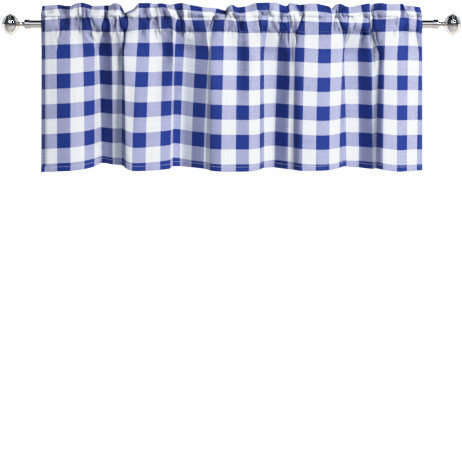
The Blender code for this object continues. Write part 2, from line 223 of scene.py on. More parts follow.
# The same stripes in the skirt: where their edges lie at its upper level and at the hem, and how
# much higher than an even hang the cloth is pulled there.
Stripe = namedtuple("Stripe", "upper_left upper_right hem_left hem_right upper_lift hem_lift")
STRIPES = [Stripe(*row) for row in (
    (-0.446, -0.437, -0.446, -0.437, 0.0030, -0.0056),
    (-0.410, -0.377, -0.408, -0.376, 0.0015, -0.0024),
    (-0.348, -0.321, -0.344, -0.322, 0.0050, 0.0040),
    (-0.313, -0.280, -0.307, -0.279, 0.0080, 0.0104),
    (-0.256, -0.2515, -0.2575, -0.247, 0.0065, 0.0073),
    (-0.2215, -0.192, -0.232, -0.2005, 0.0045, -0.0013),
    (-0.162, -0.136, -0.167, -0.1435, 0.0020, 0.0008),
    (-0.133, -0.1115, -0.139, -0.1215, 0.0080, 0.0034),
    (-0.084, -0.053, -0.094, -0.0645, 0.0030, 0.0031),
    (-0.048, -0.018, -0.050, -0.024, 0.0010, -0.0010),
    (0.013, 0.042, 0.010, 0.041, 0.0015, -0.0027),
    (0.0675, 0.0765, 0.066, 0.077, 0.0000, 0.0007),
    (0.109, 0.1385, 0.102, 0.1325, 0.0000, 0.0005),
    (0.149, 0.171, 0.146, 0.1655, 0.0005, -0.0006),
    (0.203, 0.2335, 0.197, 0.229, -0.0020, -0.0007),
    (0.2615, 0.2655, 0.253, 0.2715, -0.0015, 0.0039),
    (0.2975, 0.3295, 0.301, 0.3315, 0.0000, 0.0005),
    (0.3465, 0.3585, 0.339, 0.3535, 0.0000, 0.0036),
    (0.388, 0.4145, 0.386, 0.411, -0.0015, -0.0031),
    (0.441, 0.449, 0.4355, 0.449, -0.0015, -0.0035),
)]

# The skirt's folds: how far across the cloth each line is and its depth (+ to the wall) at the
# upper level and at the hem. Each fold drops steeply on its left and comes forward on its right.
Fold = namedtuple("Fold", "checks upper_depth hem_depth")
FOLDS = [Fold(*row) for row in (
    (0.0, -0.009, -0.015),
    (0.4, -0.009, -0.016),
    (1.4, -0.011, -0.019),
    (2.4, -0.013, -0.024),
    (3.4, -0.007, -0.018),
    (4.4, -0.003, 0.002),
    (5.2, 0.018, 0.034),
    (5.5, 0.018, 0.034),
    (6.4, -0.005, 0.006),
    (7.3, -0.006, 0.003),
    (7.6, -0.008, 0.000),
    (8.2, -0.016, -0.022),
    (8.4, -0.017, -0.025),
    (9.4, -0.016, -0.030),
    (10.4, -0.013, -0.024),
    (11.4, -0.006, -0.017),
    (12.4, -0.016, -0.001),
    (13.4, 0.012, 0.024),
    (14.4, 0.012, 0.025),
    (15.4, 0.002, 0.006),
    (16.3, -0.012, -0.012),
    (17.1, -0.015, -0.017),
    (17.4, -0.018, -0.026),
    (17.7, -0.018, -0.029),
    (18.4, -0.011, -0.034),
    (19.4, -0.004, -0.028),
    (20.4, -0.017, -0.027),
    (21.4, -0.007, -0.011),
    (22.4, 0.010, 0.017),
    (23.2, 0.012, 0.025),
    (24.3, -0.011, -0.003),
    (25.2, -0.012, -0.008),
    (26.2, -0.017, -0.027),
    (26.6, -0.016, -0.028),
    (27.4, -0.014, -0.027),
    (28.4, -0.008, -0.020),
    (29.4, 0.001, -0.003),
    (30.4, 0.015, 0.022),
    (31.3, 0.014, 0.022),
    (32.3, -0.006, -0.003),
    (33.2, -0.009, -0.009),
    (34.2, -0.018, -0.031),
    (34.6, -0.019, -0.033),
    (35.4, -0.017, -0.030),
    (36.4, -0.008, -0.015),
    (37.4, 0.002, -0.001),
    (38.0, 0.004, 0.003),
)]

# The top edge of the ruffle: distance across the cloth, height above the rod's axis, and how
# far the edge leans to the wall (+) or the room (-).
TopPoint = namedtuple("TopPoint", "checks height lean")
TOP_EDGE = [TopPoint(*row) for row in (
    (0.0, 0.043, -0.007),
    (1.0, 0.045, -0.003),
    (1.4, 0.046, -0.001),
    (2.1, 0.043, 0.000),
    (2.4, 0.043, -0.002),
    (2.9, 0.049, -0.008),
    (3.5, 0.051, -0.010),
    (4.0, 0.048, -0.007),
    (4.5, 0.043, -0.002),
    (5.4, 0.044, -0.001),
    (6.4, 0.044, -0.003),
    (7.0, 0.050, -0.010),
    (7.3, 0.048, -0.003),
    (7.65, 0.041, 0.002),
    (8.1, 0.027, 0.005),
    (8.4, 0.030, 0.003),
    (8.9, 0.035, 0.000),
    (9.2, 0.044, -0.002),
    (9.4, 0.050, -0.004),
    (10.2, 0.050, -0.003),
    (11.0, 0.048, 0.003),
    (11.8, 0.049, 0.004),
    (12.8, 0.046, 0.002),
    (14.2, 0.050, -0.003),
    (15.4, 0.046, -0.005),
    (16.6, 0.040, -0.002),
    (17.3, 0.038, 0.003),
    (18.4, 0.033, 0.006),
    (18.6, 0.038, 0.003),
    (18.9, 0.043, -0.004),
    (19.4, 0.046, -0.005),
    (19.9, 0.040, 0.000),
    (20.6, 0.043, 0.003),
    (21.4, 0.050, 0.000),
    (22.3, 0.051, -0.005),
    (22.9, 0.051, -0.004),
    (24.1, 0.043, 0.004),
    (24.5, 0.050, 0.002),
    (26.0, 0.046, -0.004),
    (26.5, 0.047, -0.005),
    (27.1, 0.049, -0.003),
    (28.2, 0.042, 0.003),
    (28.5, 0.038, 0.005),
    (29.1, 0.047, 0.000),
    (29.6, 0.048, -0.003),
    (30.2, 0.042, 0.000),
    (30.6, 0.040, 0.005),
    (31.1, 0.044, 0.003),
    (32.4, 0.049, -0.003),
    (33.0, 0.046, 0.002),
    (33.6, 0.049, -0.004),
    (34.0, 0.050, -0.005),
    (34.6, 0.047, -0.002),
    (36.1, 0.048, 0.004),
    (36.5, 0.044, 0.003),
    (37.1, 0.043, 0.000),
    (38.0, 0.040, -0.002),
)]

# Where the gathers pinch the heading: distance across the cloth, how flat the ruffle is
# pressed there (1 is closed), and half the width of the pinch in checks.
Pinch = namedtuple("Pinch", "checks closed half_width")
PINCHES = [Pinch(*row) for row in (
    (1.7, 0.35, 0.5),
    (3.0, 0.50, 0.4),
    (4.3, 0.65, 0.4),
    (5.9, 0.85, 0.5),
    (8.0, 0.95, 0.6),
    (9.6, 0.40, 0.4),
    (10.9, 0.70, 0.4),
    (13.6, 0.90, 0.6),
    (15.0, 0.35, 0.4),
    (17.2, 0.70, 0.5),
    (18.7, 0.90, 0.5),
    (20.8, 0.45, 0.4),
    (22.3, 0.55, 0.4),
    (23.4, 0.55, 0.4),
    (25.0, 0.70, 0.4),
    (29.1, 0.95, 0.6),
    (31.2, 0.50, 0.5),
    (32.9, 0.90, 0.9),
    (36.0, 0.75, 0.5),
    (37.2, 0.45, 0.4),
)]

# The gingham's rows don't run quite true to the seams: distance across the cloth, and how far
# the rows are moved up along the cloth at the pocket and at the hem.
Drift = namedtuple("Drift", "checks pocket hem")
DRIFTS = [Drift(*row) for row in (
    (0.0, -0.0020, 0.0050),
    (2.2, 0.0028, 0.0055),
    (4.0, 0.0030, 0.0058),
    (5.9, 0.0000, 0.0020),
    (8.0, 0.0043, 0.0045),
    (10.0, 0.0050, 0.0050),
    (12.2, 0.0073, 0.0070),
    (13.5, -0.0031, 0.0072),
    (15.9, -0.0026, 0.0025),
    (17.9, -0.0008, 0.0030),
    (19.9, -0.0037, 0.0038),
    (21.9, -0.0026, 0.0012),
    (23.9, -0.0056, 0.0052),
    (25.9, -0.0052, 0.0040),
    (27.9, -0.0066, 0.0010),
    (29.9, -0.0058, 0.0000),
    (32.2, -0.0076, 0.0030),
    (33.6, 0.0000, 0.0016),
    (35.9, 0.0018, 0.0010),
    (38.0, -0.0017, 0.0005),
)]

# The same for the heading: how far the rows are moved up at the lower seam, at the upper seam and
# at the ruffle's top, besides the drift at the pocket.
HeadingDrift = namedtuple("HeadingDrift", "checks low high top")
HEADING_DRIFTS = [HeadingDrift(*row) for row in (
    (0.0, 0.0010, -0.0035, 0.0000),
    (1.9, 0.0050, -0.0020, -0.0017),
    (3.9, 0.0050, 0.0030, -0.0032),
    (5.9, -0.0030, 0.0000, -0.0020),
    (7.4, -0.0020, 0.0000, -0.0150),
    (8.2, -0.0020, 0.0000, -0.0165),
    (8.9, 0.0020, 0.0000, -0.0050),
    (9.9, 0.0055, 0.0020, -0.0080),
    (11.9, 0.0055, 0.0050, -0.0080),
    (13.9, 0.0010, -0.0020, -0.0020),
    (15.9, 0.0000, -0.0025, -0.0010),
    (17.4, 0.0015, -0.0035, -0.0060),
    (18.3, 0.0020, -0.0040, -0.0140),
    (18.7, 0.0010, -0.0040, -0.0040),
    (19.9, -0.0010, -0.0045, -0.0080),
    (21.9, -0.0010, -0.0025, -0.0040),
    (23.9, 0.0010, -0.0060, -0.0060),
    (25.2, -0.0010, -0.0020, -0.0030),
    (26.2, -0.0050, 0.0010, -0.0080),
    (27.9, -0.0015, -0.0030, -0.0030),
    (29.9, -0.0015, -0.0050, -0.0110),
    (31.9, -0.0030, -0.0030, -0.0010),
    (33.9, 0.0000, -0.0035, -0.0110),
    (35.9, 0.0027, 0.0012, -0.0140),
    (38.0, -0.0040, -0.0040, -0.0090),
)]

# Knots where the gathers draw the cloth together: the place in millimetres, how far the drawing
# in reaches sideways and up, how strong it is (1 would close it), and how deep it is sunk.
Knot = namedtuple("Knot", "x z reach_x reach_z draw depth")
KNOTS = [Knot(*row) for row in (
    (-296, 16, 9, 12, 0.45, 3.5),
    (-269, 6, 9, 14, 0.25, 1.0),
    (-296, -21, 14, 9, 0.40, 1.5),
    (-294, 0, 14, 10, -0.20, -0.8),
    (-251, 2, 12, 12, -0.60, -2.0),
    (-250, -19, 11, 9, 0.50, 2.0),
    (-250, 21, 12, 14, 0.55, 4.5),
    (-189, 15, 9, 12, 0.35, 2.0),
    (-119, -21, 15, 9, 0.35, 1.5),
    (-119, 0, 15, 10, -0.20, -0.8),
    (-119, 15, 12, 12, 0.50, 3.5),
    (-43, 15, 9, 12, 0.30, 2.0),
    (-13, 22, 12, 14, 0.40, 3.0),
    (63, 15, 9, 12, 0.35, 1.5),
    (76, 20, 9, 12, 0.30, 1.5),
    (136, 24, 9, 14, 0.30, 1.5),
    (146, -16, 9, 12, 0.35, 2.5),
    (246, 16, 14, 14, 0.50, 4.0),
    (327, 19, 12, 12, 0.45, 3.5),
    (399, 22, 9, 14, 0.40, 2.5),
)]

# Creases that the gathers draw in the cloth, in millimetres: from (x, z) where the crease starts
# to (x, z) where it dies out, how far it is pressed to the wall (+) or raised to the room (-) at
# its start, and half its width. A crease pressed to the wall also gets shade painted into its
# groove; the long, wide and shallow ones are there mostly for the shade they paint on the skirt.
Crease = namedtuple("Crease", "x z end_x end_z depth half_width")
CREASES = [Crease(*row) for row in (
    (-425, -8, -425, -319, 0.9, 24.0),
    (-423, 34, -423, 20, 3.8, 14.0),
    (-423, -20, -423, -84, 1.4, 13.0),
    (-409, -48, -411, -23, 2.3, 3.8),
    (-405, 15, -406, -13, 3.0, 1.9),
    (-404, 34, -395, 13, -2.5, 3.8),
    (-402, -18, -406, -48, -1.8, 2.4),
    (-397, 31, -388, 13, 3.2, 4.0),
    (-396, 43, -390, 36, 7.0, 9.0),
    (-390, 34, -388, 17, 4.4, 11.0),
    (-388, 13, -385, -13, 3.0, 9.0),
    (-377, 13, -377, -16, 2.6, 2.0),
    (-369, 13, -368, -11, 4.0, 2.0),
    (-367, 34, -364, 20, 1.6, 10.0),
    (-364, 13, -360, -4, 3.7, 1.8),
    (-364, 13, -363, -13, 3.0, 8.0),
    (-364, 10, -362, -46, 1.8, 9.0),
    (-356, 46, -355, 10, -2.1, 2.4),
    (-355, 13, -359, -4, 3.7, 1.8),
    (-349, 43, -349, 10, 3.3, 2.2),
    (-345, 15, -344, 29, -2.0, 1.8),
    (-344, 10, -336, -11, -1.8, 1.8),
    (-341, 36, -339, 17, 4.6, 7.5),
    (-341, 13, -339, -11, 2.6, 8.0),
    (-340, 17, -340, 36, 5.7, 1.8),
    (-334, 15, -335, 29, -2.0, 1.8),
    (-332, -39, -348, -20, -2.4, 3.8),
    (-332, 46, -327, 39, 5.0, 4.0),
    (-331, 13, -324, -13, -2.0, 2.0),
    (-328, 13, -317, -16, 5.0, 2.2),
    (-322, -37, -342, -13, 4.7, 3.2),
    (-315, 36, -317, 20, 2.6, 13.0),
    (-303, -25, -292, -32, 2.4, 2.2),
    (-301, 10, -300, -16, -2.6, 1.8),
    (-301, -117, -299, -314, 1.3, 15.0),
    (-296, 17, -298, 39, 5.3, 2.2),
    (-296, 17, -295, -1, 4.3, 1.8),
    (-296, -27, -296, -290, 1.7, 19.0),
    (-294, 46, -295, 29, 4.5, 3.0),
    (-294, 46, -292, 36, 6.5, 6.0),
    (-289, 20, -288, 39, -2.4, 2.2),
    (-286, 10, -287, -16, -2.6, 1.8),
    (-280, 6, -275, -20, 3.0, 4.0),
    (-278, -30, -300, -20, -1.8, 2.4),
    (-275, 27, -276, 17, -3.0, 9.0),
    (-272, 13, -276, -13, 4.3, 1.8),
    (-272, 15, -274, -16, 5.0, 1.8),
    (-272, 43, -274, 22, 4.8, 9.0),
    (-267, 13, -270, -16, -3.5, 1.8),
    (-266, -23, -264, -131, 3.8, 11.0),
    (-263, 17, -261, -13, 5.5, 1.9),
    (-262, 15, -263, -16, 4.3, 1.8),
    (-251, -16, -252, -60, 5.7, 2.2),
    (-250, 1, -250, -13, -3.8, 7.0),
    (-248, 20, -264, 39, 8.0, 4.6),
    (-246, 17, -259, 12, 4.0, 1.8),
    (-243, 23, -261, 17, -3.2, 1.8),
    (-231, -149, -231, -307, 1.3, 14.0),
    (-212, 15, -212, 29, -2.4, 2.0),
    (-205, 36, -206, 17, 3.0, 4.0),
    (-203, 36, -203, 17, 4.2, 9.0),
    (-200, -16, -197, -41, -1.8, 4.5),
    (-194, 13, -194, 29, -2.0, 1.8),
    (-190, 13, -190, 39, 6.4, 1.8),
    (-184, 15, -185, -11, 3.7, 2.0),
    (-179, 13, -178, -13, 4.4, 5.0),
    (-178, 39, -182, 17, 3.4, 8.0),
    (-178, -16, -177, -46, 1.8, 9.0),
    (-176, 15, -176, -11, 4.0, 2.0),
    (-170, 17, -169, -11, -2.4, 1.8),
    (-165, -84, -165, -236, 1.4, 14.0),
    (-159, 36, -154, 17, 3.8, 8.0),
    (-154, 17, -167, 39, 5.3, 2.4),
    (-151, 15, -151, -8, 3.0, 9.0),
    (-149, -18, -151, -112, 2.2, 11.0),
    (-136, 10, -135, -60, -3.5, 1.8),
    (-132, -93, -132, -295, 1.0, 14.0),
    (-125, 8, -119, 21, -2.6, 1.8),
    (-124, 8, -123, -18, -2.4, 1.8),
    (-123, 36, -121, 17, 3.4, 9.0),
    (-121, 17, -134, 39, 5.3, 2.2),
    (-119, 15, -118, -16, 4.3, 1.8),
    (-118, 46, -116, 39, 4.0, 6.0),
    (-118, 13, -118, -16, 2.6, 8.0),
    (-113, 10, -114, -18, -2.4, 1.8),
    (-111, -18, -121, -34, 5.3, 2.2),
    (-104, -6, -97, -23, 3.3, 2.2),
    (-97, -27, -100, -44, -3.0, 8.0),
    (-79, 17, -67, 24, 3.1, 3.8),
    (-67, -18, -67, -74, 2.2, 12.0),
    (-62, 10, -57, -20, 2.6, 2.0),
    (-55, 13, -53, -6, -2.0, 2.4),
    (-54, 10, -62, -16, 2.6, 6.0),
    (-54, -23, -52, -51, 3.3, 2.0),
    (-47, 10, -43, 24, -3.2, 1.8),
    (-43, 15, -56, -18, 6.0, 2.2),
    (-42, 16, -54, -20, 7.3, 2.0),
    (-14, 26, -39, 34, 7.5, 4.6),
    (-14, 15, -14, 39, 7.3, 1.8),
    (-13, 13, -12, -16, -2.6, 1.8),
    (-8, 13, -3, -13, 4.3, 1.8),
    (-6, 29, 0, 13, -2.0, 1.8),
    (-4, 27, -3, 15, -3.2, 6.0),
    (1, 10, -1, -13, 2.2, 4.0),
    (5, 24, 15, 1, 6.4, 2.0),
    (15, -20, 34, -34, 2.6, 2.0),
    (18, 6, 21, -18, 4.3, 3.2),
    (20, -37, 14, -51, -1.8, 2.0),
    (20, 34, 27, 31, 1.6, 9.0),
    (24, 6, 20, -18, 4.4, 7.0),
    (31, -41, 31, -201, 1.4, 14.0),
    (43, -23, 43, -51, 3.1, 2.4),
    (61, 10, 60, 29, -2.9, 1.8),
    (63, 15, 68, -20, 5.0, 1.8),
    (66, 31, 79, 15, 4.0, 2.0),
    (68, 22, 74, 10, -2.0, 1.8),
    (71, 27, 69, 8, 3.6, 3.0),
    (76, 29, 76, 15, 3.4, 9.0),
    (87, 29, 75, 15, 4.0, 2.0),
    (89, 27, 91, 10, 3.1, 1.8),
    (95, 6, 99, -20, 2.4, 5.0),
    (95, 10, 104, -20, 4.6, 6.0),
    (112, 6, 113, 27, -2.4, 1.8),
    (113, 1, 96, 20, 4.0, 2.4),
    (117, -23, 113, -51, 2.6, 2.2),
    (120, 1, 133, -20, 3.3, 1.8),
    (125, -39, 113, -20, -1.8, 2.4),
    (130, -70, 130, -234, 2.0, 14.0),
    (132, -18, 134, -55, 5.3, 2.0),
    (135, 6, 131, 27, -2.4, 1.8),
    (139, -6, 135, 39, 5.3, 1.8),
    (139, 6, 140, -20, 5.6, 5.0),
    (142, -20, 140, -121, 4.6, 6.0),
    (148, 8, 152, -18, 4.7, 1.8),
    (149, 3, 143, -18, 5.0, 1.8),
    (151, -18, 152, -55, 5.3, 1.8),
    (151, 24, 152, 6, -5.2, 8.0),
    (165, 43, 170, 31, 6.5, 7.0),
    (168, 24, 154, -18, 6.4, 1.9),
    (168, 24, 153, 41, 4.0, 1.9),
    (217, 41, 221, 34, 2.0, 9.0),
    (226, 39, 233, 29, 5.0, 5.0),
    (227, 22, 206, 27, 2.4, 1.8),
    (239, 17, 234, -16, -2.6, 1.8),
    (243, 17, 239, -23, 7.6, 2.0),
    (246, 17, 245, 39, 5.3, 1.8),
    (248, 13, 246, -16, -2.6, 1.8),
    (248, 6, 259, -25, -3.5, 1.8),
    (251, 13, 264, -23, 6.0, 1.8),
    (252, 27, 263, 8, -2.6, 1.8),
    (258, 24, 270, 8, 3.7, 1.8),
    (261, 39, 263, 27, 5.0, 9.0),
    (262, -23, 271, -48, 3.3, 2.0),
    (268, 21, 286, 14, 3.3, 1.8),
    (275, -25, 269, -48, 3.3, 2.0),
    (278, 3, 279, -23, -2.9, 1.8),
    (284, 15, 291, -1, 4.3, 1.8),
    (290, 3, 283, -23, 5.7, 2.2),
    (310, -20, 303, -55, 4.3, 4.2),
    (320, 14, 307, 21, 3.1, 1.8),
    (323, 15, 325, -23, 5.7, 1.8),
    (324, 15, 312, 22, -2.4, 1.8),
    (326, -20, 328, -60, 5.7, 1.8),
    (328, 17, 327, -20, -2.6, 1.8),
    (329, 10, 336, -20, 4.0, 2.4),
    (330, 22, 327, 43, 5.0, 1.8),
    (331, 20, 335, 31, -1.8, 1.8),
    (332, 13, 328, -20, 4.7, 1.8),
    (334, -23, 334, -51, -1.8, 2.2),
    (334, -20, 334, -117, 4.6, 6.5),
    (339, -18, 344, -55, 5.7, 1.8),
    (343, 17, 338, 34, 4.0, 1.8),
    (343, 43, 352, 31, 3.4, 10.0),
    (348, 29, 345, 15, 1.6, 7.0),
    (349, -41, 349, -112, 2.4, 7.0),
    (385, -1, 378, 10, 2.0, 1.8),
    (385, -1, 389, 9, 2.0, 1.8),
    (391, 20, 391, 39, -2.0, 1.8),
    (399, 20, 398, 46, 6.6, 2.2),
    (400, 46, 402, 17, 4.2, 2.6),
    (405, 17, 408, 41, -2.6, 2.0),
    (412, 43, 409, 27, 3.3, 2.2),
    (416, 41, 417, 31, 3.0, 5.0),
    (444, 26, 425, 17, 3.1, 2.2),
    (444, 20, 431, 13, -2.0, 2.0),
)]


# ---- helpers ----

def deselect_all():
    bpy.ops.object.select_all(action="DESELECT")


def blend(start, end, share):
    return start + (end - start) * share


def settle(share):
    """Ease out: folds form quickly below the seam and change little near the hem."""
    return 1.0 - (1.0 - share) ** FOLD_SETTLING


def smooth_step(value):
    value = np.clip(value, 0.0, 1.0)
    return value * value * (3.0 - 2.0 * value)


def smooth_curve(places, values):
    """A smooth curve through (place, value) pairs that never overshoots its points."""
    places = np.array(places, float)
    values = np.array(values, float)
    spans = np.diff(places)
    rises = np.diff(values) / spans
    slopes = np.zeros(len(places))
    slopes[0] = rises[0]
    slopes[-1] = rises[-1]
    before = rises[:-1]
    after = rises[1:]
    agree = before * after > 0.0
    slopes[1:-1][agree] = 2.0 * before[agree] * after[agree] / (before[agree] + after[agree])

    def value_at(place):
        index = np.clip(np.searchsorted(places, place) - 1, 0, len(spans) - 1)
        share = (place - places[index]) / spans[index]
        rest = 1.0 - share
        from_start = (1.0 + 2.0 * share) * rest * rest * values[index]
        from_end = (3.0 - 2.0 * share) * share * share * values[index + 1]
        leaning = share * rest * rest * slopes[index] - share * share * rest * slopes[index + 1]
        return from_start + from_end + leaning * spans[index]

    return value_at


def stripe_edges():
    """Distances across the cloth, in checks, of the edges of all the blue stripes."""
    edges = [0.0, FIRST_STRIPE_CHECKS]
    while len(edges) < 2 * len(STRIPES) - 1:
        edges.append(edges[-1] + 1.0)
    edges.append(float(CHECKS_ACROSS))
    return edges


def stripe_curve(stripes, level):
    """Place along the rod at a level, as a curve over the distance across the cloth."""
    places = []
    for stripe in stripes:
        places += [getattr(stripe, level + "_left"), getattr(stripe, level + "_right")]
    return smooth_curve(stripe_edges(), places)


def table_curve(table, column):
    return smooth_curve([line.checks for line in table], [getattr(line, column) for line in table])


def lift_curve(column):
    """How much the cloth is pulled up, as a curve over the distance across the cloth."""
    edges = stripe_edges()
    middles = [0.5 * (edges[2 * number] + edges[2 * number + 1]) for number in range(len(STRIPES))]
    middles[0] = edges[0]
    middles[-1] = edges[-1]
    return smooth_curve(middles, [getattr(stripe, column) for stripe in STRIPES])


TOP_ALONG = stripe_curve(HEADING_STRIPES, "top")
HIGH_ALONG = stripe_curve(HEADING_STRIPES, "high")
LOW_ALONG = stripe_curve(HEADING_STRIPES, "low")
UPPER_ALONG = stripe_curve(STRIPES, "upper")
HEM_ALONG = stripe_curve(STRIPES, "hem")
UPPER_DEPTH = table_curve(FOLDS, "upper_depth")
HEM_DEPTH = table_curve(FOLDS, "hem_depth")
UPPER_LIFT = lift_curve("upper_lift")
HEM_LIFT = lift_curve("hem_lift")
TOP_HEIGHT = table_curve(TOP_EDGE, "height")
TOP_LEAN = table_curve(TOP_EDGE, "lean")
POCKET_DRIFT = table_curve(DRIFTS, "pocket")
HEM_DRIFT = table_curve(DRIFTS, "hem")
LOW_DRIFT = table_curve(HEADING_DRIFTS, "low")
HIGH_DRIFT = table_curve(HEADING_DRIFTS, "high")
TOP_DRIFT = table_curve(HEADING_DRIFTS, "top")


def fullness(checks):
    """How far the heading puffs out: 1 between the pinches, near 0 in them."""
    full = np.ones_like(checks)
    for pinch in PINCHES:
        distance = (checks - pinch.checks) / pinch.half_width
        full -= pinch.closed * np.exp(-distance * distance)
    return np.maximum(full, LEAST_FULLNESS)


def seam_depth(checks):
    """The seams wander a little to and fro: back at a pinch, forward at a puff."""
    wave = SEAM_WAVE * (EVEN_FULLNESS - fullness(checks))
    return wave + SEAM_SHARE_OF_FOLDS * UPPER_DEPTH(checks) - SEAM_FORWARD


# ---- the sheet ----

def middle_line(checks, below):
    """Points midway between the heading's two layers, at a distance below the lower seam."""
    if below < UPPER_LEVEL:
        share = below / UPPER_LEVEL
        along = blend(LOW_ALONG(checks), UPPER_ALONG(checks), share)
        depth = blend(seam_depth(checks), FOLD_GAIN * UPPER_DEPTH(checks), share)
        lift = share * UPPER_LIFT(checks)
    else:
        share = settle((below - UPPER_LEVEL) / (SKIRT_LENGTH - UPPER_LEVEL))
        along = blend(UPPER_ALONG(checks), HEM_ALONG(checks), share)
        depth = blend(FOLD_GAIN * UPPER_DEPTH(checks), FOLD_GAIN * HEM_DEPTH(checks), share)
        lift = blend(UPPER_LIFT(checks), HEM_LIFT(checks), share)
    along = along * (1.0 + HEM_FLARE * below / SKIRT_LENGTH)
    return np.stack([along, depth, lift - SEAM_HEIGHT - below], axis=-1)


def layer_line(checks, below, distance):
    """Points set off the middle by a distance to the wall, square to the folds there."""
    points = middle_line(checks, below)
    run = np.gradient(points[:, 0])
    rise = np.gradient(points[:, 1])
    length = np.hypot(run, rise)
    points[:, 0] -= distance * rise / length
    points[:, 1] += distance * run / length
    return points


def skirt_line(checks, below):
    share = max(0.0, 1.0 - below / UPPER_LEVEL)
    return layer_line(checks, below, -share * LAYER_SPACING / 2.0)


def pocket_line(checks, height, side):
    """Points of the layer in front of the rod (-1) or behind it (1), at a height from its axis."""
    share = height / SEAM_HEIGHT
    swell = 1.0 - share * share
    seam = seam_depth(checks) + side * LAYER_SPACING / 2.0
    front = side * (ROD_RADIUS + POCKET_CLEARANCE + POCKET_PUFF * fullness(checks))
    along = blend(LOW_ALONG(checks), HIGH_ALONG(checks), 0.5 + 0.5 * share)
    return np.stack([along, blend(seam, front, swell), np.full_like(checks, height)], axis=-1)


def ruffle_line(checks, share, side):
    """Points of the ruffle's front (-1) or back (1) layer, at a share of its height."""
    height = blend(SEAM_HEIGHT, TOP_HEIGHT(checks), share)
    middle = blend(seam_depth(checks), TOP_LEAN(checks), smooth_step(share))
    bulge = RUFFLE_BULGE * np.sin(math.pi * share ** BULGE_RISE)
    half = blend(LAYER_SPACING, TOP_FOLD_WIDTH, share) / 2.0
    offset = half + bulge * fullness(checks)
    along = blend(HIGH_ALONG(checks), TOP_ALONG(checks), smooth_step(share))
    return np.stack([along, middle + side * offset, height], axis=-1)


def drawn_in(points):
    """The points, drawn towards the knots and sunk there."""
    x = points[:, 0].copy()
    z = points[:, 2].copy()
    for knot in KNOTS:
        aside = x - knot.x * MM
        above = z - knot.z * MM
        near = np.exp(-(aside / (knot.reach_x * MM)) ** 2 - (above / (knot.reach_z * MM)) ** 2)
        points[:, 0] -= knot.draw * near * aside
        points[:, 1] += knot.depth * MM * near
        points[:, 2] -= KNOT_DRAW_UP * knot.draw * near * above
    return points


def relief(x, z, creases):
    """How far the creases move points at (x, z) to the wall, and the shade painted into their grooves."""
    moved = np.zeros_like(x)
    shade = np.zeros_like(x)
    for crease in creases:
        start = np.array([crease.x, crease.z]) * MM
        run = np.array([crease.end_x, crease.end_z]) * MM - start
        length = math.hypot(run[0], run[1])
        across = np.array([-run[1], run[0]]) / length
        share = ((x - start[0]) * run[0] + (z - start[1]) * run[1]) / length ** 2
        aside = ((x - start[0]) * across[0] + (z - start[1]) * across[1]) / (crease.half_width * MM)
        before = np.exp(-(share * length / CREASE_START_REACH) ** 2)
        after = 1.0 - smooth_step(CREASE_FADE * share - (CREASE_FADE - 1.0))
        fade = np.where(share < 0.0, before, after)
        moved += crease.depth * MM * fade * np.exp(-np.abs(aside) ** GROOVE_ROUNDNESS)
        # painted shade: grooves pressed to the wall get shade painted along their middle, darker the deeper
        # they are
        groove_shade = min(max(crease.depth / FULL_SHADE_DEPTH, 0.0), 1.0)
        shade = np.maximum(shade, groove_shade * fade * np.exp(-(SHADE_NARROWING * aside) ** 2))
    return moved, shade


def small_puckers():
    """Short puckers where the stitches take up the cloth, along both seams of the pocket."""
    random.seed(PUCKER_SEED)
    puckers = []
    for _ in range(PUCKERS):
        x = random.uniform(-PUCKER_REACH, PUCKER_REACH)
        seam = random.choice(PUCKERED_LEVELS)
        way = random.choice((-1, 1))
        length = random.uniform(*PUCKER_LENGTHS)
        lean = random.uniform(-PUCKER_LEAN, PUCKER_LEAN)
        depth = random.uniform(*PUCKER_DEPTHS) * random.choice((1, 1, -1))
        half_width = random.uniform(*PUCKER_WIDTHS)
        puckers.append(Crease(x, seam, x + lean, seam + way * length, depth, half_width))
    return puckers


def keep_off_rod(points, side):
    """Moves points that came too near the rod away from it, to the wall (1) or to the room (-1)."""
    room = (ROD_RADIUS + ROD_CLEARANCE) ** 2 - points[:, 2] ** 2
    nearest = np.sqrt(np.maximum(room, 0.0))
    points[:, 1] = np.where(room > 0.0, side * np.maximum(side * points[:, 1], nearest), points[:, 1])
    return points


def left_curl(x):
    """How far the turned-back left edge has curled to the wall at each x."""
    return EDGE_CURL * smooth_step((LEFT_EDGE + EDGE_CURL_WIDTH - x) / EDGE_CURL_WIDTH)


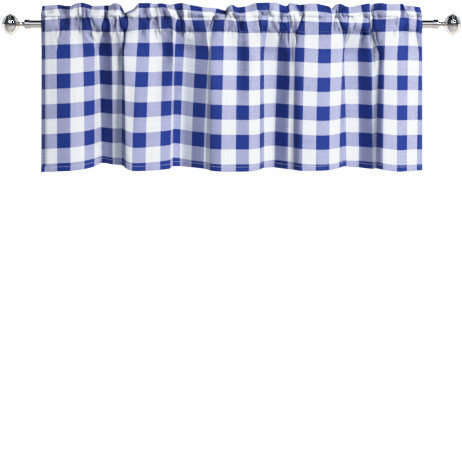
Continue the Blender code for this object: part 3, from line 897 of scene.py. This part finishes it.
def sheet_rows(checks):
    """The sheet's rows, as (distance up from the lower seam, points, shade painted into the creases)."""
    creases = CREASES + small_puckers()
    rows = []

    def add(up, points):
        rows.append((up, points, np.zeros_like(checks)))

    def add_creased(up, points, rod_side=0):
        points = drawn_in(points)
        points[:, 1] += left_curl(points[:, 0])
        fade = smooth_step((LAST_CREASE - np.abs(points[:, 0])) / LAST_CREASE_FADE)
        moved, shade = relief(points[:, 0], points[:, 2], creases)
        points[:, 1] += fade * moved
        if rod_side:
            points = keep_off_rod(points, rod_side)
        rows.append((up, points, fade * shade))

    # the hem's inner layer, turned up behind the skirt, and then the fold
    for above in (HEM_DEPTH_FLAT, 0.5 * HEM_DEPTH_FLAT, HEM_FOLD):
        below = SKIRT_LENGTH - above
        add(-2.0 * SKIRT_LENGTH + below, layer_line(checks, below, TURNED_GAP))
    turn_line = layer_line(checks, SKIRT_LENGTH - HEM_TURN_UP, TURNED_GAP * HEM_TURN_SHARE)
    add(-SKIRT_LENGTH - HEM_TURN_LENGTH, turn_line)
    # the skirt, from the hem up to the lower seam
    belows = [SKIRT_LENGTH - above for above in HEM_ROWS]
    belows += list(np.linspace(SKIRT_LENGTH - SKIRT_BOTTOM_ROW, SKIRT_TOP_ROW, SKIRT_ROWS))
    belows += list(np.linspace(UPPER_BOTTOM_ROW, 0.0, UPPER_ROWS))
    for below in belows:
        add_creased(-below, skirt_line(checks, below))
    # the front of the pocket and of the ruffle
    for step in range(1, POCKET_STEPS + 1):
        turn = math.pi * step / (POCKET_STEPS + 1)
        up = POCKET_LENGTH * step / (POCKET_STEPS + 1)
        add_creased(up, pocket_line(checks, -SEAM_HEIGHT * math.cos(turn), -1), rod_side=-1)
    for step in range(RUFFLE_STEPS + 1):
        share = step / RUFFLE_STEPS
        add_creased(POCKET_LENGTH + RUFFLE_LENGTH * share, ruffle_line(checks, share, -1))
    # the back of the ruffle and of the pocket, and the strip below its seam
    for share in BACK_RUFFLE_SHARES:
        up = POCKET_LENGTH + RUFFLE_LENGTH * (2.0 - share) + TOP_FOLD_WIDTH
        add_creased(up, ruffle_line(checks, share, 1))
    back_start = POCKET_LENGTH + 2.0 * RUFFLE_LENGTH + TOP_FOLD_WIDTH
    for step in range(1, BACK_STEPS + 1):
        turn = math.pi * step / (BACK_STEPS + 1)
        up = back_start + POCKET_LENGTH * step / (BACK_STEPS + 1)
        add_creased(up, pocket_line(checks, SEAM_HEIGHT * math.cos(turn), 1), rod_side=1)
    for below in (0.0, 0.5 * SEAM_ALLOWANCE, SEAM_ALLOWANCE):
        strip = layer_line(checks, below, LAYER_SPACING / 2.0)
        strip[:, 1] += STRIP_SPREAD * below
        add_creased(back_start + POCKET_LENGTH + below, strip)
    return rows


def sheet_columns():
    """Distances across the cloth, in checks, of the columns of points: closer at fine creases."""
    even = np.linspace(0.0, CHECKS_ACROSS, PLACES_A_CHECK * CHECKS_ACROSS + 1)
    along = HIGH_ALONG(even)
    crowd = np.ones_like(even)
    for crease in CREASES:
        if crease.half_width < FINE_CREASE:
            middle = 0.5 * (crease.x + crease.end_x) * MM
            crowd += CROWDING * np.exp(-((along - middle) / CROWDING_REACH) ** 2)
    crowd = np.minimum(crowd, MOST_CROWDED)
    total = np.concatenate([[0.0], np.cumsum(0.5 * (crowd[1:] + crowd[:-1]))])
    return np.interp(np.linspace(0.0, total[-1], COLUMNS), total, even)


def grid_normals(points):
    """Unit normals of a grid of points, towards the cloth's right side."""
    down = np.gradient(points, axis=0)
    across = np.gradient(points, axis=1)
    normals = np.cross(across, down)
    return normals / np.maximum(np.linalg.norm(normals, axis=-1, keepdims=True), 1e-12)


def with_side_hems(points, across):
    """The grid with a narrow hem turned to the wrong side along its left and right edges."""
    normals = grid_normals(points)
    normals[:TURNED_ROWS] *= -1.0
    steps = np.arange(len(across))

    def hem_column(place, share):
        index = np.interp(place, across, steps)
        low = min(int(index), len(across) - 2)
        base = blend(points[:, low], points[:, low + 1], index - low)
        return base - TURNED_GAP * share * blend(normals[:, low], normals[:, low + 1], index - low)

    insets = list(np.linspace(SIDE_HEM, EDGE_INSET, SIDE_HEM_COLUMNS - 1))
    turns = [(inset, 1.0) for inset in insets] + [(0.0, 0.5)]
    left = [hem_column(across[0] + inset, share) for inset, share in turns]
    right = [hem_column(across[-1] - inset, share) for inset, share in reversed(turns)]
    left_across = [across[0] - inset - EDGE_TURN for inset, share in turns]
    right_across = [across[-1] + inset + EDGE_TURN for inset, share in reversed(turns)]
    full_points = np.concatenate([np.stack(left, axis=1), points, np.stack(right, axis=1)], axis=1)
    return full_points, np.concatenate([left_across, across, right_across])


def pattern_rows(checks, ups):
    """Where the gingham's own rows lie at each point: the distance up, less the rows' drift."""
    below = np.clip(-ups / SKIRT_LENGTH, 0.0, 1.0)[:, None]
    drift = blend(POCKET_DRIFT(checks), HEM_DRIFT(checks), below)
    drift = drift + 4.0 * MIDDLE_DRIFT * below * (1.0 - below)
    low = smooth_step(1.0 + ups / HEADING_DRIFT_REACH)[:, None]
    high = smooth_step(ups / POCKET_LENGTH)[:, None]
    top = smooth_step((ups - POCKET_LENGTH) / RUFFLE_LENGTH)[:, None]
    heading = blend(blend(LOW_DRIFT(checks), HIGH_DRIFT(checks), high), TOP_DRIFT(checks), top)
    return ups[:, None] - drift - low * heading


def grid_mesh(name, points, across, ups, shades):
    """A mesh of quads over a grid of points, with the flat cloth's own measure as its UV map."""
    rows, columns = points.shape[:2]
    index = np.arange(rows * columns).reshape(rows, columns)
    corners = [index[:-1, :-1], index[:-1, 1:], index[1:, 1:], index[1:, :-1]]
    faces = np.stack(corners, axis=-1).reshape(-1, 4)
    mesh = bpy.data.meshes.new(name)
    mesh.from_pydata(points.reshape(-1, 3).tolist(), [], faces.tolist())
    rows_up = pattern_rows(np.clip(across / CHECK, 0.0, CHECKS_ACROSS), ups)
    flat = np.stack(np.broadcast_arrays(across[None, :], rows_up), axis=-1).reshape(-1, 2)
    layer = mesh.uv_layers.new(name="flat cloth")
    layer.data.foreach_set("uv", flat[faces.reshape(-1)].astype(np.float32).reshape(-1))
    # the shade painted into the creases, kept on each point for the material to darken the colour
    painted_shade_layer = mesh.attributes.new("painted crease shade", "FLOAT", "POINT")
    painted_shade_layer.data.foreach_set("value", shades.reshape(-1).astype(np.float32))
    mesh.shade_smooth()
    return mesh


def add_piece(mesh):
    piece = bpy.data.objects.new(mesh.name, mesh)
    bpy.context.scene.collection.objects.link(piece)
    return piece


def build_cloth(material):
    checks = sheet_columns()
    rows = sheet_rows(checks)
    ups = np.array([up for up, points, shades in rows])
    points = np.stack([points for up, points, shades in rows])
    shades = np.stack([shades for up, points, shades in rows])
    full_points, full_across = with_side_hems(points, checks * CHECK)
    shades = np.pad(shades, ((0, 0), (SIDE_HEM_COLUMNS, SIDE_HEM_COLUMNS)), mode="edge")
    cloth = add_piece(grid_mesh("gingham_valance", full_points, full_across, ups, shades))
    cloth.data.materials.append(material)
    deselect_all()
    bpy.context.view_layer.objects.active = cloth
    cloth.select_set(True)
    thicken = cloth.modifiers.new("cloth thickness", "SOLIDIFY")
    thicken.thickness = CLOTH_THICKNESS
    thicken.offset = 0.0
    bpy.ops.object.modifier_apply(modifier=thicken.name)
    return cloth, checks, ups, points


# ---- stitches ----

def on_cloth(grid, checks, ups, across, up):
    """The value of the grid at places (across in checks, up) of the cloth, between its points."""
    column = np.interp(across, checks, np.arange(len(checks)))
    row = np.interp(up, ups, np.arange(len(ups)))
    left = np.minimum(column.astype(int), len(checks) - 2)
    low = np.minimum(row.astype(int), len(ups) - 2)
    aside = (column - left)[:, None]
    lower = blend(grid[low, left], grid[low, left + 1], aside)
    upper = blend(grid[low + 1, left], grid[low + 1, left + 1], aside)
    return blend(lower, upper, (row - low)[:, None])


def stitch_starts():
    """Where the stitches start on the flat cloth, which way they run, and how many are the hem's."""
    run = np.arange(SIDE_STITCHING, FLAT_WIDTH - SIDE_STITCHING - STITCH_LENGTH, STITCH_SPACING)
    starts = [np.stack([run, np.full_like(run, up)], axis=1) for up in STITCHED_LEVELS]
    ways = [np.tile((1.0, 0.0), (len(run), 1))] * len(STITCHED_LEVELS)
    highest = POCKET_LENGTH + STITCHED_RUFFLE * RUFFLE_LENGTH
    climb = np.arange(SIDE_STITCHING_START - SKIRT_LENGTH, highest, STITCH_SPACING)
    for across in (SIDE_STITCHING, FLAT_WIDTH - SIDE_STITCHING):
        starts.append(np.stack([np.full_like(climb, across), climb], axis=1))
        ways.append(np.tile((0.0, 1.0), (len(climb), 1)))
    return np.concatenate(starts), np.concatenate(ways), len(run)


def stitch_corners(points, checks, ups, start, way):
    """The corners of every stitch: rings round its thread, from end to end."""
    normals = grid_normals(points)
    rings = []
    for share, radius, height in STITCH_RINGS:
        flat = start + share * STITCH_LENGTH * way
        place = on_cloth(points, checks, ups, flat[:, 0] / CHECK, flat[:, 1])
        out = on_cloth(normals, checks, ups, flat[:, 0] / CHECK, flat[:, 1])
        rings.append((place + (CLOTH_THICKNESS / 2.0 + height) * out, out, radius))
    along = rings[-1][0] - rings[0][0]
    along = along / np.linalg.norm(along, axis=1, keepdims=True)
    corners = []
    for centre, out, radius in rings:
        for turn in np.linspace(0.0, 2.0 * math.pi, THREAD_SIDES, endpoint=False):
            corners.append(centre + radius * (math.cos(turn) * out + math.sin(turn) * np.cross(along, out)))
    return np.stack(corners, axis=1)


def build_stitches(points, checks, ups, white, lilac):
    """The stitches of the hems and the two pocket seams in one mesh: the bottom hem's are white."""
    start, way, hem_stitches = stitch_starts()
    vertices = stitch_corners(points, checks, ups, start, way)
    count = vertices.shape[1]
    side = np.arange(THREAD_SIDES)
    after = (side + 1) % THREAD_SIDES
    faces = []
    for base in range(0, len(start) * count, count):
        last = base + count - THREAD_SIDES
        for low in range(base, last, THREAD_SIDES):
            high = low + THREAD_SIDES
            faces += np.stack([low + side, low + after, high + after, high + side], axis=1).tolist()
        faces.append((base + side[::-1]).tolist())
        faces.append((last + side).tolist())
    mesh = bpy.data.meshes.new("stitches")
    mesh.from_pydata(vertices.reshape(-1, 3).tolist(), [], faces)
    mesh.shade_smooth()
    mesh.materials.append(white)
    mesh.materials.append(lilac)
    faces_each = len(faces) // len(start)
    for face in mesh.polygons[hem_stitches * faces_each:]:
        face.material_index = 1
    return add_piece(mesh)


# ---- materials ----

WHITE_COTTON = (0.845, 0.870, 0.900)
WOVEN_BOTH = (0.335, 0.340, 0.56)
BLUE_COTTON = (0.016, 0.036, 0.215)
STRIPES_BEFORE = 40.0
THREAD_CONTRAST = 0.30
SLUB_SCALES = ((430.0, 9.0, 1.0), (9.0, 430.0, 1.0))
SLUB_CONTRAST = 0.36
# Shade painted into the heading's blue: where it starts and ends up the cloth, its strength, and its share
# at the left edge and how much of that is lost by the right.
HEADING_SHADE_START = -0.030
HEADING_SHADE_END = 0.004
HEADING_PAINTED_SHADE = 0.34
HEADING_SHADE_AT_LEFT = 1.05
HEADING_SHADE_LOSS = 0.65
CREASE_PAINTED_SHADE = 0.78
WHITE_THREAD = ((0.62, 0.64, 0.68), (0.86, 0.87, 0.90))
LILAC_THREAD = ((0.26, 0.27, 0.47), (0.39, 0.41, 0.63))
THREAD_TWISTS = 2500.0
DULL_STEEL = (0.86, 0.78, 0.69)
BRIGHT_STEEL = (0.96, 0.88, 0.79)
STEEL_EDGE_TINT = (0.16, 0.16, 0.15, 1.0)
SMUDGES = 90.0
SMUDGE_RANGE = (0.3, 0.8)
STEEL_ROUGHNESS = (0.06, 0.15)


class Graph:
    """The shader nodes of a material or of the world."""

    def __init__(self, owner):
        owner.use_nodes = True
        self.nodes = owner.node_tree.nodes
        self.links = owner.node_tree.links

    def fill(self, node, inputs):
        """Fills a node's inputs, by name or number: an output is linked, a plain value is set."""
        for key, value in inputs.items():
            if isinstance(value, bpy.types.NodeSocket):
                self.links.new(value, node.inputs[key])
            else:
                node.inputs[key].default_value = value

    def add(self, kind, inputs=(), **settings):
        """A new node with its settings made and its inputs filled."""
        node = self.nodes.new("ShaderNode" + kind)
        for name, value in settings.items():
            setattr(node, name, value)
        self.fill(node, dict(inputs))
        return node

    def math(self, operation, *values):
        return self.add("Math", enumerate(values), operation=operation).outputs[0]

    def product(self, first, second):
        return self.math("MULTIPLY", first, second)

    def noise(self, place, scale, detail):
        inputs = {"Vector": place, "Scale": scale, "Detail": detail}
        return self.add("TexNoise", inputs).outputs["Fac"]

    def spread(self, value, start, end, low=0.0, high=1.0, kind="LINEAR"):
        """Low where the value is at the start of its range, and high where it is at the end."""
        inputs = {"Value": value, "From Min": start, "From Max": end, "To Min": low, "To Max": high}
        return self.add("MapRange", inputs, interpolation_type=kind).outputs[0]

    def ramp(self, value, stops):
        """The colour at a value, between (place, colour) stops."""
        node = self.add("ValToRGB", {0: value})
        elements = node.color_ramp.elements
        for element, (place, colour) in zip(elements, (stops[0], stops[-1])):
            element.position = place
            element.color = colour + (1.0,)
        for place, colour in stops[1:-1]:
            elements.new(place).color = colour + (1.0,)
        return node.outputs[0]

    def object_place(self):
        return self.add("TexCoord").outputs["Object"]


def new_material(name):
    material = bpy.data.materials.new(name)
    graph = Graph(material)
    return material, graph, graph.nodes["Principled BSDF"]


def gingham_material():
    """White cotton checked with blue: half tone where one set of threads is blue, full where both are."""
    material, graph, shader = new_material("blue gingham")
    flat = graph.add("UVMap", uv_map="flat cloth").outputs[0]
    parts = graph.add("SeparateXYZ", {0: flat})
    across, up = parts.outputs[0], parts.outputs[1]

    def stripes(distance, start):
        """1 on the blue stripes and 0 between them, counted from far outside the cloth."""
        shifted = graph.math("SUBTRACT", distance, start - STRIPES_BEFORE * CHECK)
        phase = graph.math("FRACT", graph.math("DIVIDE", shifted, 2.0 * CHECK))
        return graph.math("LESS_THAN", phase, 0.5)

    warp = stripes(across, (FIRST_STRIPE_CHECKS + 1.0) * CHECK)
    weft = stripes(up, ROW_START)
    wave_across = graph.math("SINE", graph.product(across, math.pi / WOVEN_THREAD))
    wave_up = graph.math("SINE", graph.product(up, math.pi / WOVEN_THREAD))
    over = graph.product(wave_across, wave_up)
    warp_share = graph.math("MULTIPLY_ADD", over, THREAD_CONTRAST, 0.5)
    weft_share = graph.math("SUBTRACT", 1.0, warp_share)
    blueness = graph.math("MULTIPLY_ADD", weft, weft_share, graph.product(warp, warp_share))
    dyed = graph.ramp(blueness, ((0.0, WHITE_COTTON), (0.5, WOVEN_BOTH), (1.0, BLUE_COTTON)))

    slubs = []
    for scale in SLUB_SCALES:
        drawn_out = graph.add("Mapping", {"Vector": flat, "Scale": scale}).outputs[0]
        slubs.append(graph.noise(drawn_out, scale=1.0, detail=3.0))
    slub = graph.math("ADD", *slubs)
    plain = graph.math("MULTIPLY_ADD", slub, SLUB_CONTRAST, 1.0 - SLUB_CONTRAST)
    # painted shade: blue and half-tone cells are darkened in the heading, where the double cloth lets less
    # light through, and most of all at its left, away from the key light
    heading_shade = graph.spread(up, HEADING_SHADE_START, HEADING_SHADE_END, 0.0, -HEADING_PAINTED_SHADE)
    share = graph.math("MULTIPLY_ADD", across, -HEADING_SHADE_LOSS / FLAT_WIDTH, HEADING_SHADE_AT_LEFT)
    heading_shade_factor = graph.math("MULTIPLY_ADD", graph.product(heading_shade, share), blueness, 1.0)
    # painted shade: the base colour is darkened where shade was painted into the creases
    crease = graph.add("Attribute", attribute_name="painted crease shade").outputs["Fac"]
    after_crease_shade = graph.math("MULTIPLY_ADD", crease, -CREASE_PAINTED_SHADE, 1.0)
    shade = graph.product(graph.product(plain, heading_shade_factor), after_crease_shade)
    shaded = graph.add("VectorMath", {0: dyed, "Scale": shade}, operation="SCALE").outputs[0]
    height = graph.math("MULTIPLY_ADD", over, 0.5, slub)
    bump = graph.add("Bump", {"Strength": 0.35, "Distance": 0.00012, "Height": height}).outputs[0]
    graph.fill(shader, {
        "Base Color": shaded,
        "Normal": bump,
        "Roughness": 0.62,
        "Specular IOR Level": 0.10,
        "Sheen Weight": 0.03,
        "Sheen Roughness": 0.45,
    })
    return material


def thread_material(name, colours):
    material, graph, shader = new_material(name)
    dark, light = colours
    twist = graph.noise(graph.object_place(), THREAD_TWISTS, detail=2.0)
    colour = graph.ramp(twist, ((0.0, dark), (1.0, light)))
    graph.fill(shader, {"Base Color": colour, "Roughness": 0.55})
    return material


def steel_material():
    material, graph, shader = new_material("polished steel")
    smudge = graph.noise(graph.object_place(), SMUDGES, detail=3.0)
    graph.fill(shader, {
        "Metallic": 1.0,
        "Base Color": graph.ramp(smudge, ((0.0, DULL_STEEL), (1.0, BRIGHT_STEEL))),
        "Roughness": graph.spread(smudge, *SMUDGE_RANGE, *STEEL_ROUGHNESS),
        "Specular Tint": STEEL_EDGE_TINT,
    })
    return material


# ---- the room ----

KEY_POWER = 214.0
KEY_SIZE = 0.9
KEY_DISTANCE = 4.0
KEY_AZIMUTH = 40.0
KEY_ELEVATION = 30.0

FLOOR_LEVEL = -1.3
FLOOR_SIZE = 160.0
FLOOR_COLOUR = (0.45, 0.45, 0.45, 1.0)
FLOOR_GLOW_START = 0.2
FLOOR_GLOW_END = 0.9
FLOOR_LEAST_GLOW = 0.10
FLOOR_MOST_GLOW = 1.40
PURE_WHITE = (1.0, 1.0, 1.0, 1.0)

# The grey of the room straight down and straight up, and between them how light it is at a
# share of the way from down to up, in its own cool tint.
DOWN_GREY = (0.3, 0.3, 0.3)
UP_GREY = (0.10, 0.10, 0.10)
ROOM_LEVELS = ((0.44, 0.12), (0.52, 0.12), (0.58, 0.40), (0.80, 0.40), (0.90, 0.12))
ROOM_TINT = (0.80, 0.94, 1.16)

# A bright panel in front of the rod and a bright wall behind it, as parts of a unit direction.
PANEL_BOTTOM = 0.29
PANEL_TOP = 0.79
PANEL_SIDE = 0.45
PANEL_EDGE = -0.4
PANEL_SOFTNESS = 0.05
PANEL_RIM = 0.03
PANEL_GLOW = 3.0
WALL_START = 0.1
WALL_FULL = 0.3
WALL_TOP = 0.75
WALL_SOFTNESS = 0.2
WALL_GLOW = 2.0
WORLD_GLOW = 0.11

CAMERA_DISTANCE = 5.0
CAMERA_TILT = 8.5
CAMERA_TARGET = (-0.001, 0.0, -0.4838)
SENSOR_WIDTH = 36.0
LENS = 163.5
FARTHEST = 200.0

# How bright a level of light is shown: the tones above a half are rolled off to white.
TONES = ((0.5, 0.5), (0.8, 0.75), (1.2, 0.92), (1.6, 1.0))
BRIGHTEST = 2.0


def build_floor():
    bpy.ops.mesh.primitive_plane_add(size=FLOOR_SIZE, location=(0.0, 0.0, FLOOR_LEVEL))
    floor = bpy.context.active_object
    floor.name = "floor"
    material, graph, shader = new_material("pale floor")
    back = graph.add("SeparateXYZ", {0: graph.object_place()}).outputs["Y"]
    glow = graph.spread(
        back, FLOOR_GLOW_START, FLOOR_GLOW_END, FLOOR_LEAST_GLOW, FLOOR_MOST_GLOW, "SMOOTHSTEP")
    graph.fill(shader, {
        "Base Color": FLOOR_COLOUR,
        "Roughness": 0.9,
        "Emission Color": PURE_WHITE,
        "Emission Strength": glow,
    })
    floor.data.materials.append(material)


def build_world():
    world = bpy.data.worlds.new("studio")
    bpy.context.scene.world = world
    graph = Graph(world)
    direction = graph.add("TexCoord").outputs["Generated"]
    parts = graph.add("SeparateXYZ", {0: direction})
    sideways, back, up = parts.outputs[0], parts.outputs[1], parts.outputs[2]
    stops = [(place, tuple(part * level for part in ROOM_TINT)) for place, level in ROOM_LEVELS]
    stops = [(0.0, DOWN_GREY)] + stops + [(1.0, UP_GREY)]
    colour = graph.ramp(graph.math("MULTIPLY_ADD", up, 0.5, 0.5), stops)
    front = graph.spread(back, PANEL_EDGE, PANEL_EDGE - PANEL_SOFTNESS)
    low = graph.spread(up, PANEL_BOTTOM - PANEL_RIM, PANEL_BOTTOM)
    high = graph.spread(up, PANEL_TOP, PANEL_TOP - PANEL_RIM)
    narrow = graph.spread(graph.math("ABSOLUTE", sideways), PANEL_SIDE, PANEL_SIDE - PANEL_SOFTNESS)
    panel = graph.product(graph.product(low, high), graph.product(front, narrow))
    behind = graph.spread(back, WALL_START, WALL_FULL)
    under = graph.spread(up, WALL_TOP, WALL_TOP - WALL_SOFTNESS)
    glow = graph.math("MULTIPLY_ADD", panel, PANEL_GLOW, WORLD_GLOW)
    glow = graph.math("MULTIPLY_ADD", graph.product(behind, under), WALL_GLOW, glow)
    graph.fill(graph.nodes["Background"], {"Color": colour, "Strength": glow})


def build_key_light():
    lamp = bpy.data.lights.new("key light", "AREA")
    lamp.energy = KEY_POWER
    lamp.size = KEY_SIZE
    key = bpy.data.objects.new("key light", lamp)
    bpy.context.scene.collection.objects.link(key)
    azimuth = math.radians(KEY_AZIMUTH)
    elevation = math.radians(KEY_ELEVATION)
    level = math.cos(elevation)
    way = Vector((math.sin(azimuth) * level, -math.cos(azimuth) * level, math.sin(elevation)))
    key.location = KEY_DISTANCE * way
    key.rotation_euler = (-way).to_track_quat("-Z", "Y").to_euler()


def build_camera():
    tilt = math.radians(CAMERA_TILT)
    camera = bpy.data.objects.new("camera", bpy.data.cameras.new("camera"))
    bpy.context.scene.collection.objects.link(camera)
    view_way = Vector((0.0, math.cos(tilt), -math.sin(tilt)))
    camera.location = Vector(CAMERA_TARGET) - CAMERA_DISTANCE * view_way
    camera.rotation_euler = (math.pi / 2.0 - tilt, 0.0, 0.0)
    camera.data.sensor_width = SENSOR_WIDTH
    camera.data.lens = LENS
    camera.data.clip_end = FARTHEST
    bpy.context.scene.camera = camera


def set_tones():
    view = bpy.context.scene.view_settings
    view.view_transform = "Standard"
    view.use_curve_mapping = True
    mapping = view.curve_mapping
    mapping.clip_max_x = BRIGHTEST
    tones = mapping.curves[3].points
    tones[-1].location = (BRIGHTEST, 1.0)
    for level, shown in TONES:
        tones.new(level, shown)
    mapping.update()


# ---- rod, collars and finials ----

def turned(name, outline, place, side, material):
    """A piece turned about the rod's axis from (radius, distance) rings; the first and last are closed."""
    deselect_all()
    first_radius, first_distance = outline[0]
    bpy.ops.mesh.primitive_circle_add(
        vertices=TURNED_SIDES, radius=first_radius, fill_type="NGON",
        location=(side * (place + first_distance), 0.0, 0.0), rotation=(0.0, math.pi / 2.0, 0.0))
    piece = bpy.context.active_object
    piece.name = name
    piece.data.name = name
    bpy.ops.object.mode_set(mode="EDIT")
    bpy.ops.mesh.select_all(action="SELECT")
    for (radius, distance), (next_radius, next_distance) in zip(outline, outline[1:]):
        step = side * (next_distance - distance)
        growth = next_radius / radius
        middle = (side * (place + next_distance), 0.0, 0.0)
        bpy.ops.mesh.extrude_region_move(TRANSFORM_OT_translate={"value": (step, 0.0, 0.0)})
        bpy.ops.transform.resize(value=(1.0, growth, growth), center_override=middle)
    bpy.ops.mesh.select_all(action="SELECT")
    bpy.ops.mesh.normals_make_consistent(inside=False)
    bpy.ops.object.mode_set(mode="OBJECT")
    bpy.ops.object.transform_apply(location=True, rotation=True, scale=True)
    bpy.ops.object.shade_smooth_by_angle(angle=math.radians(EDGE_ANGLE))
    piece.data.materials.append(material)
    return piece


def build_rod(material):
    """The tube: a turned bar with eased rims, opened at both ends and given its wall."""
    ease = RIM_EASE
    outline = [(ROD_RADIUS - ease, 0.0), (ROD_RADIUS, ease)]
    outline += [(ROD_RADIUS, ROD_LENGTH - ease), (ROD_RADIUS - ease, ROD_LENGTH)]
    rod = turned("curtain_rod", outline, -ROD_LENGTH / 2.0, 1, material)
    bpy.ops.object.mode_set(mode="EDIT")
    bpy.ops.mesh.select_mode(type="FACE")
    bpy.ops.mesh.select_all(action="DESELECT")
    bpy.ops.object.mode_set(mode="OBJECT")
    for face in rod.data.polygons:
        face.select = len(face.vertices) == TURNED_SIDES
    bpy.ops.object.mode_set(mode="EDIT")
    bpy.ops.mesh.delete(type="ONLY_FACE")
    bpy.ops.object.mode_set(mode="OBJECT")
    wall = rod.modifiers.new("tube wall", "SOLIDIFY")
    wall.thickness = ROD_WALL
    wall.offset = -1.0
    bpy.ops.object.modifier_apply(modifier=wall.name)
    return rod


def collar_outline():
    """The cup over the rod's end: out of its bore, round its lip and over its closed end."""
    outer = COLLAR_DIAMETER / 2.0
    bore = ROD_RADIUS + PIECE_GAP
    lip = RIM_EASE
    outline = [(bore, COLLAR_LENGTH - COLLAR_END_WALL), (bore, 0.0), (outer - lip, 0.0), (outer, lip)]
    for turn in np.linspace(0.0, math.pi / 2.0, ROUNDING_STEPS):
        radius = outer - COLLAR_ROUNDING * (1.0 - math.cos(turn))
        outline.append((radius, COLLAR_LENGTH - COLLAR_ROUNDING * (1.0 - math.sin(turn))))
    return outline


def finial_outline():
    """From the collar out: the beaded neck, the ball's inner half, its band and its outer half."""
    outline = []
    for step in range(BEAD_COUNT * BEAD_STEPS + 1):
        swell = math.sin(math.pi * step / BEAD_STEPS) ** 2
        distance = NECK_LENGTH * step / (BEAD_COUNT * BEAD_STEPS)
        outline.append((blend(NECK_RADIUS, BEAD_RADIUS, swell), distance))
    middle = NECK_LENGTH + BALL_INNER_DEPTH
    first_angle = math.acos(NECK_RADIUS / BALL_RADIUS)
    band_angle = math.asin(BAND_WIDTH / 2.0 / BALL_OUTER_DEPTH)
    for angle in np.linspace(first_angle, band_angle, BALL_STEPS)[1:]:
        outline.append((BALL_RADIUS * math.cos(angle), middle - BALL_INNER_DEPTH * math.sin(angle)))
    for angle in np.radians(BAND_ANGLES):
        rise = (BAND_RADIUS - BALL_RADIUS) * math.cos(angle)
        outline.append((BALL_RADIUS + rise, middle + BAND_WIDTH / 2.0 * math.sin(angle)))
    for angle in np.linspace(band_angle, math.radians(TIP_ANGLE), BALL_STEPS):
        outline.append((BALL_RADIUS * math.cos(angle), middle + BALL_OUTER_DEPTH * math.sin(angle)))
    return outline


def build_metal(material):
    rod = build_rod(material)
    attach(rod, "root")
    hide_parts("rod")
    collar_start = ROD_LENGTH / 2.0 + PIECE_GAP + COLLAR_END_WALL - COLLAR_LENGTH
    finial_start = collar_start + COLLAR_LENGTH + PIECE_GAP
    for side, word in ((-1, "left"), (1, "right")):
        collar = turned("end_cup_" + word, collar_outline(), collar_start, side, material)
        finial = turned("ball_finial_" + word, finial_outline(), finial_start, side, material)
        for piece, node, slot in ((collar, "collar_", "collar_steel"), (finial, "finial_", "finial_steel")):
            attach(piece, "root")
            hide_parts(node + word)


def main():
    build_camera()
    set_tones()
    build_floor()
    build_world()
    build_key_light()
    gingham = gingham_material()
    steel = steel_material()
    cloth, checks, ups, points = build_cloth(gingham)
    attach(cloth, "root")
    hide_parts("valance_cloth")
    white = thread_material("white thread", WHITE_THREAD)
    lilac = thread_material("lilac thread", LILAC_THREAD)
    stitches = build_stitches(points, checks, ups, white, lilac)
    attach(stitches, "root")
    build_metal(steel)


main()
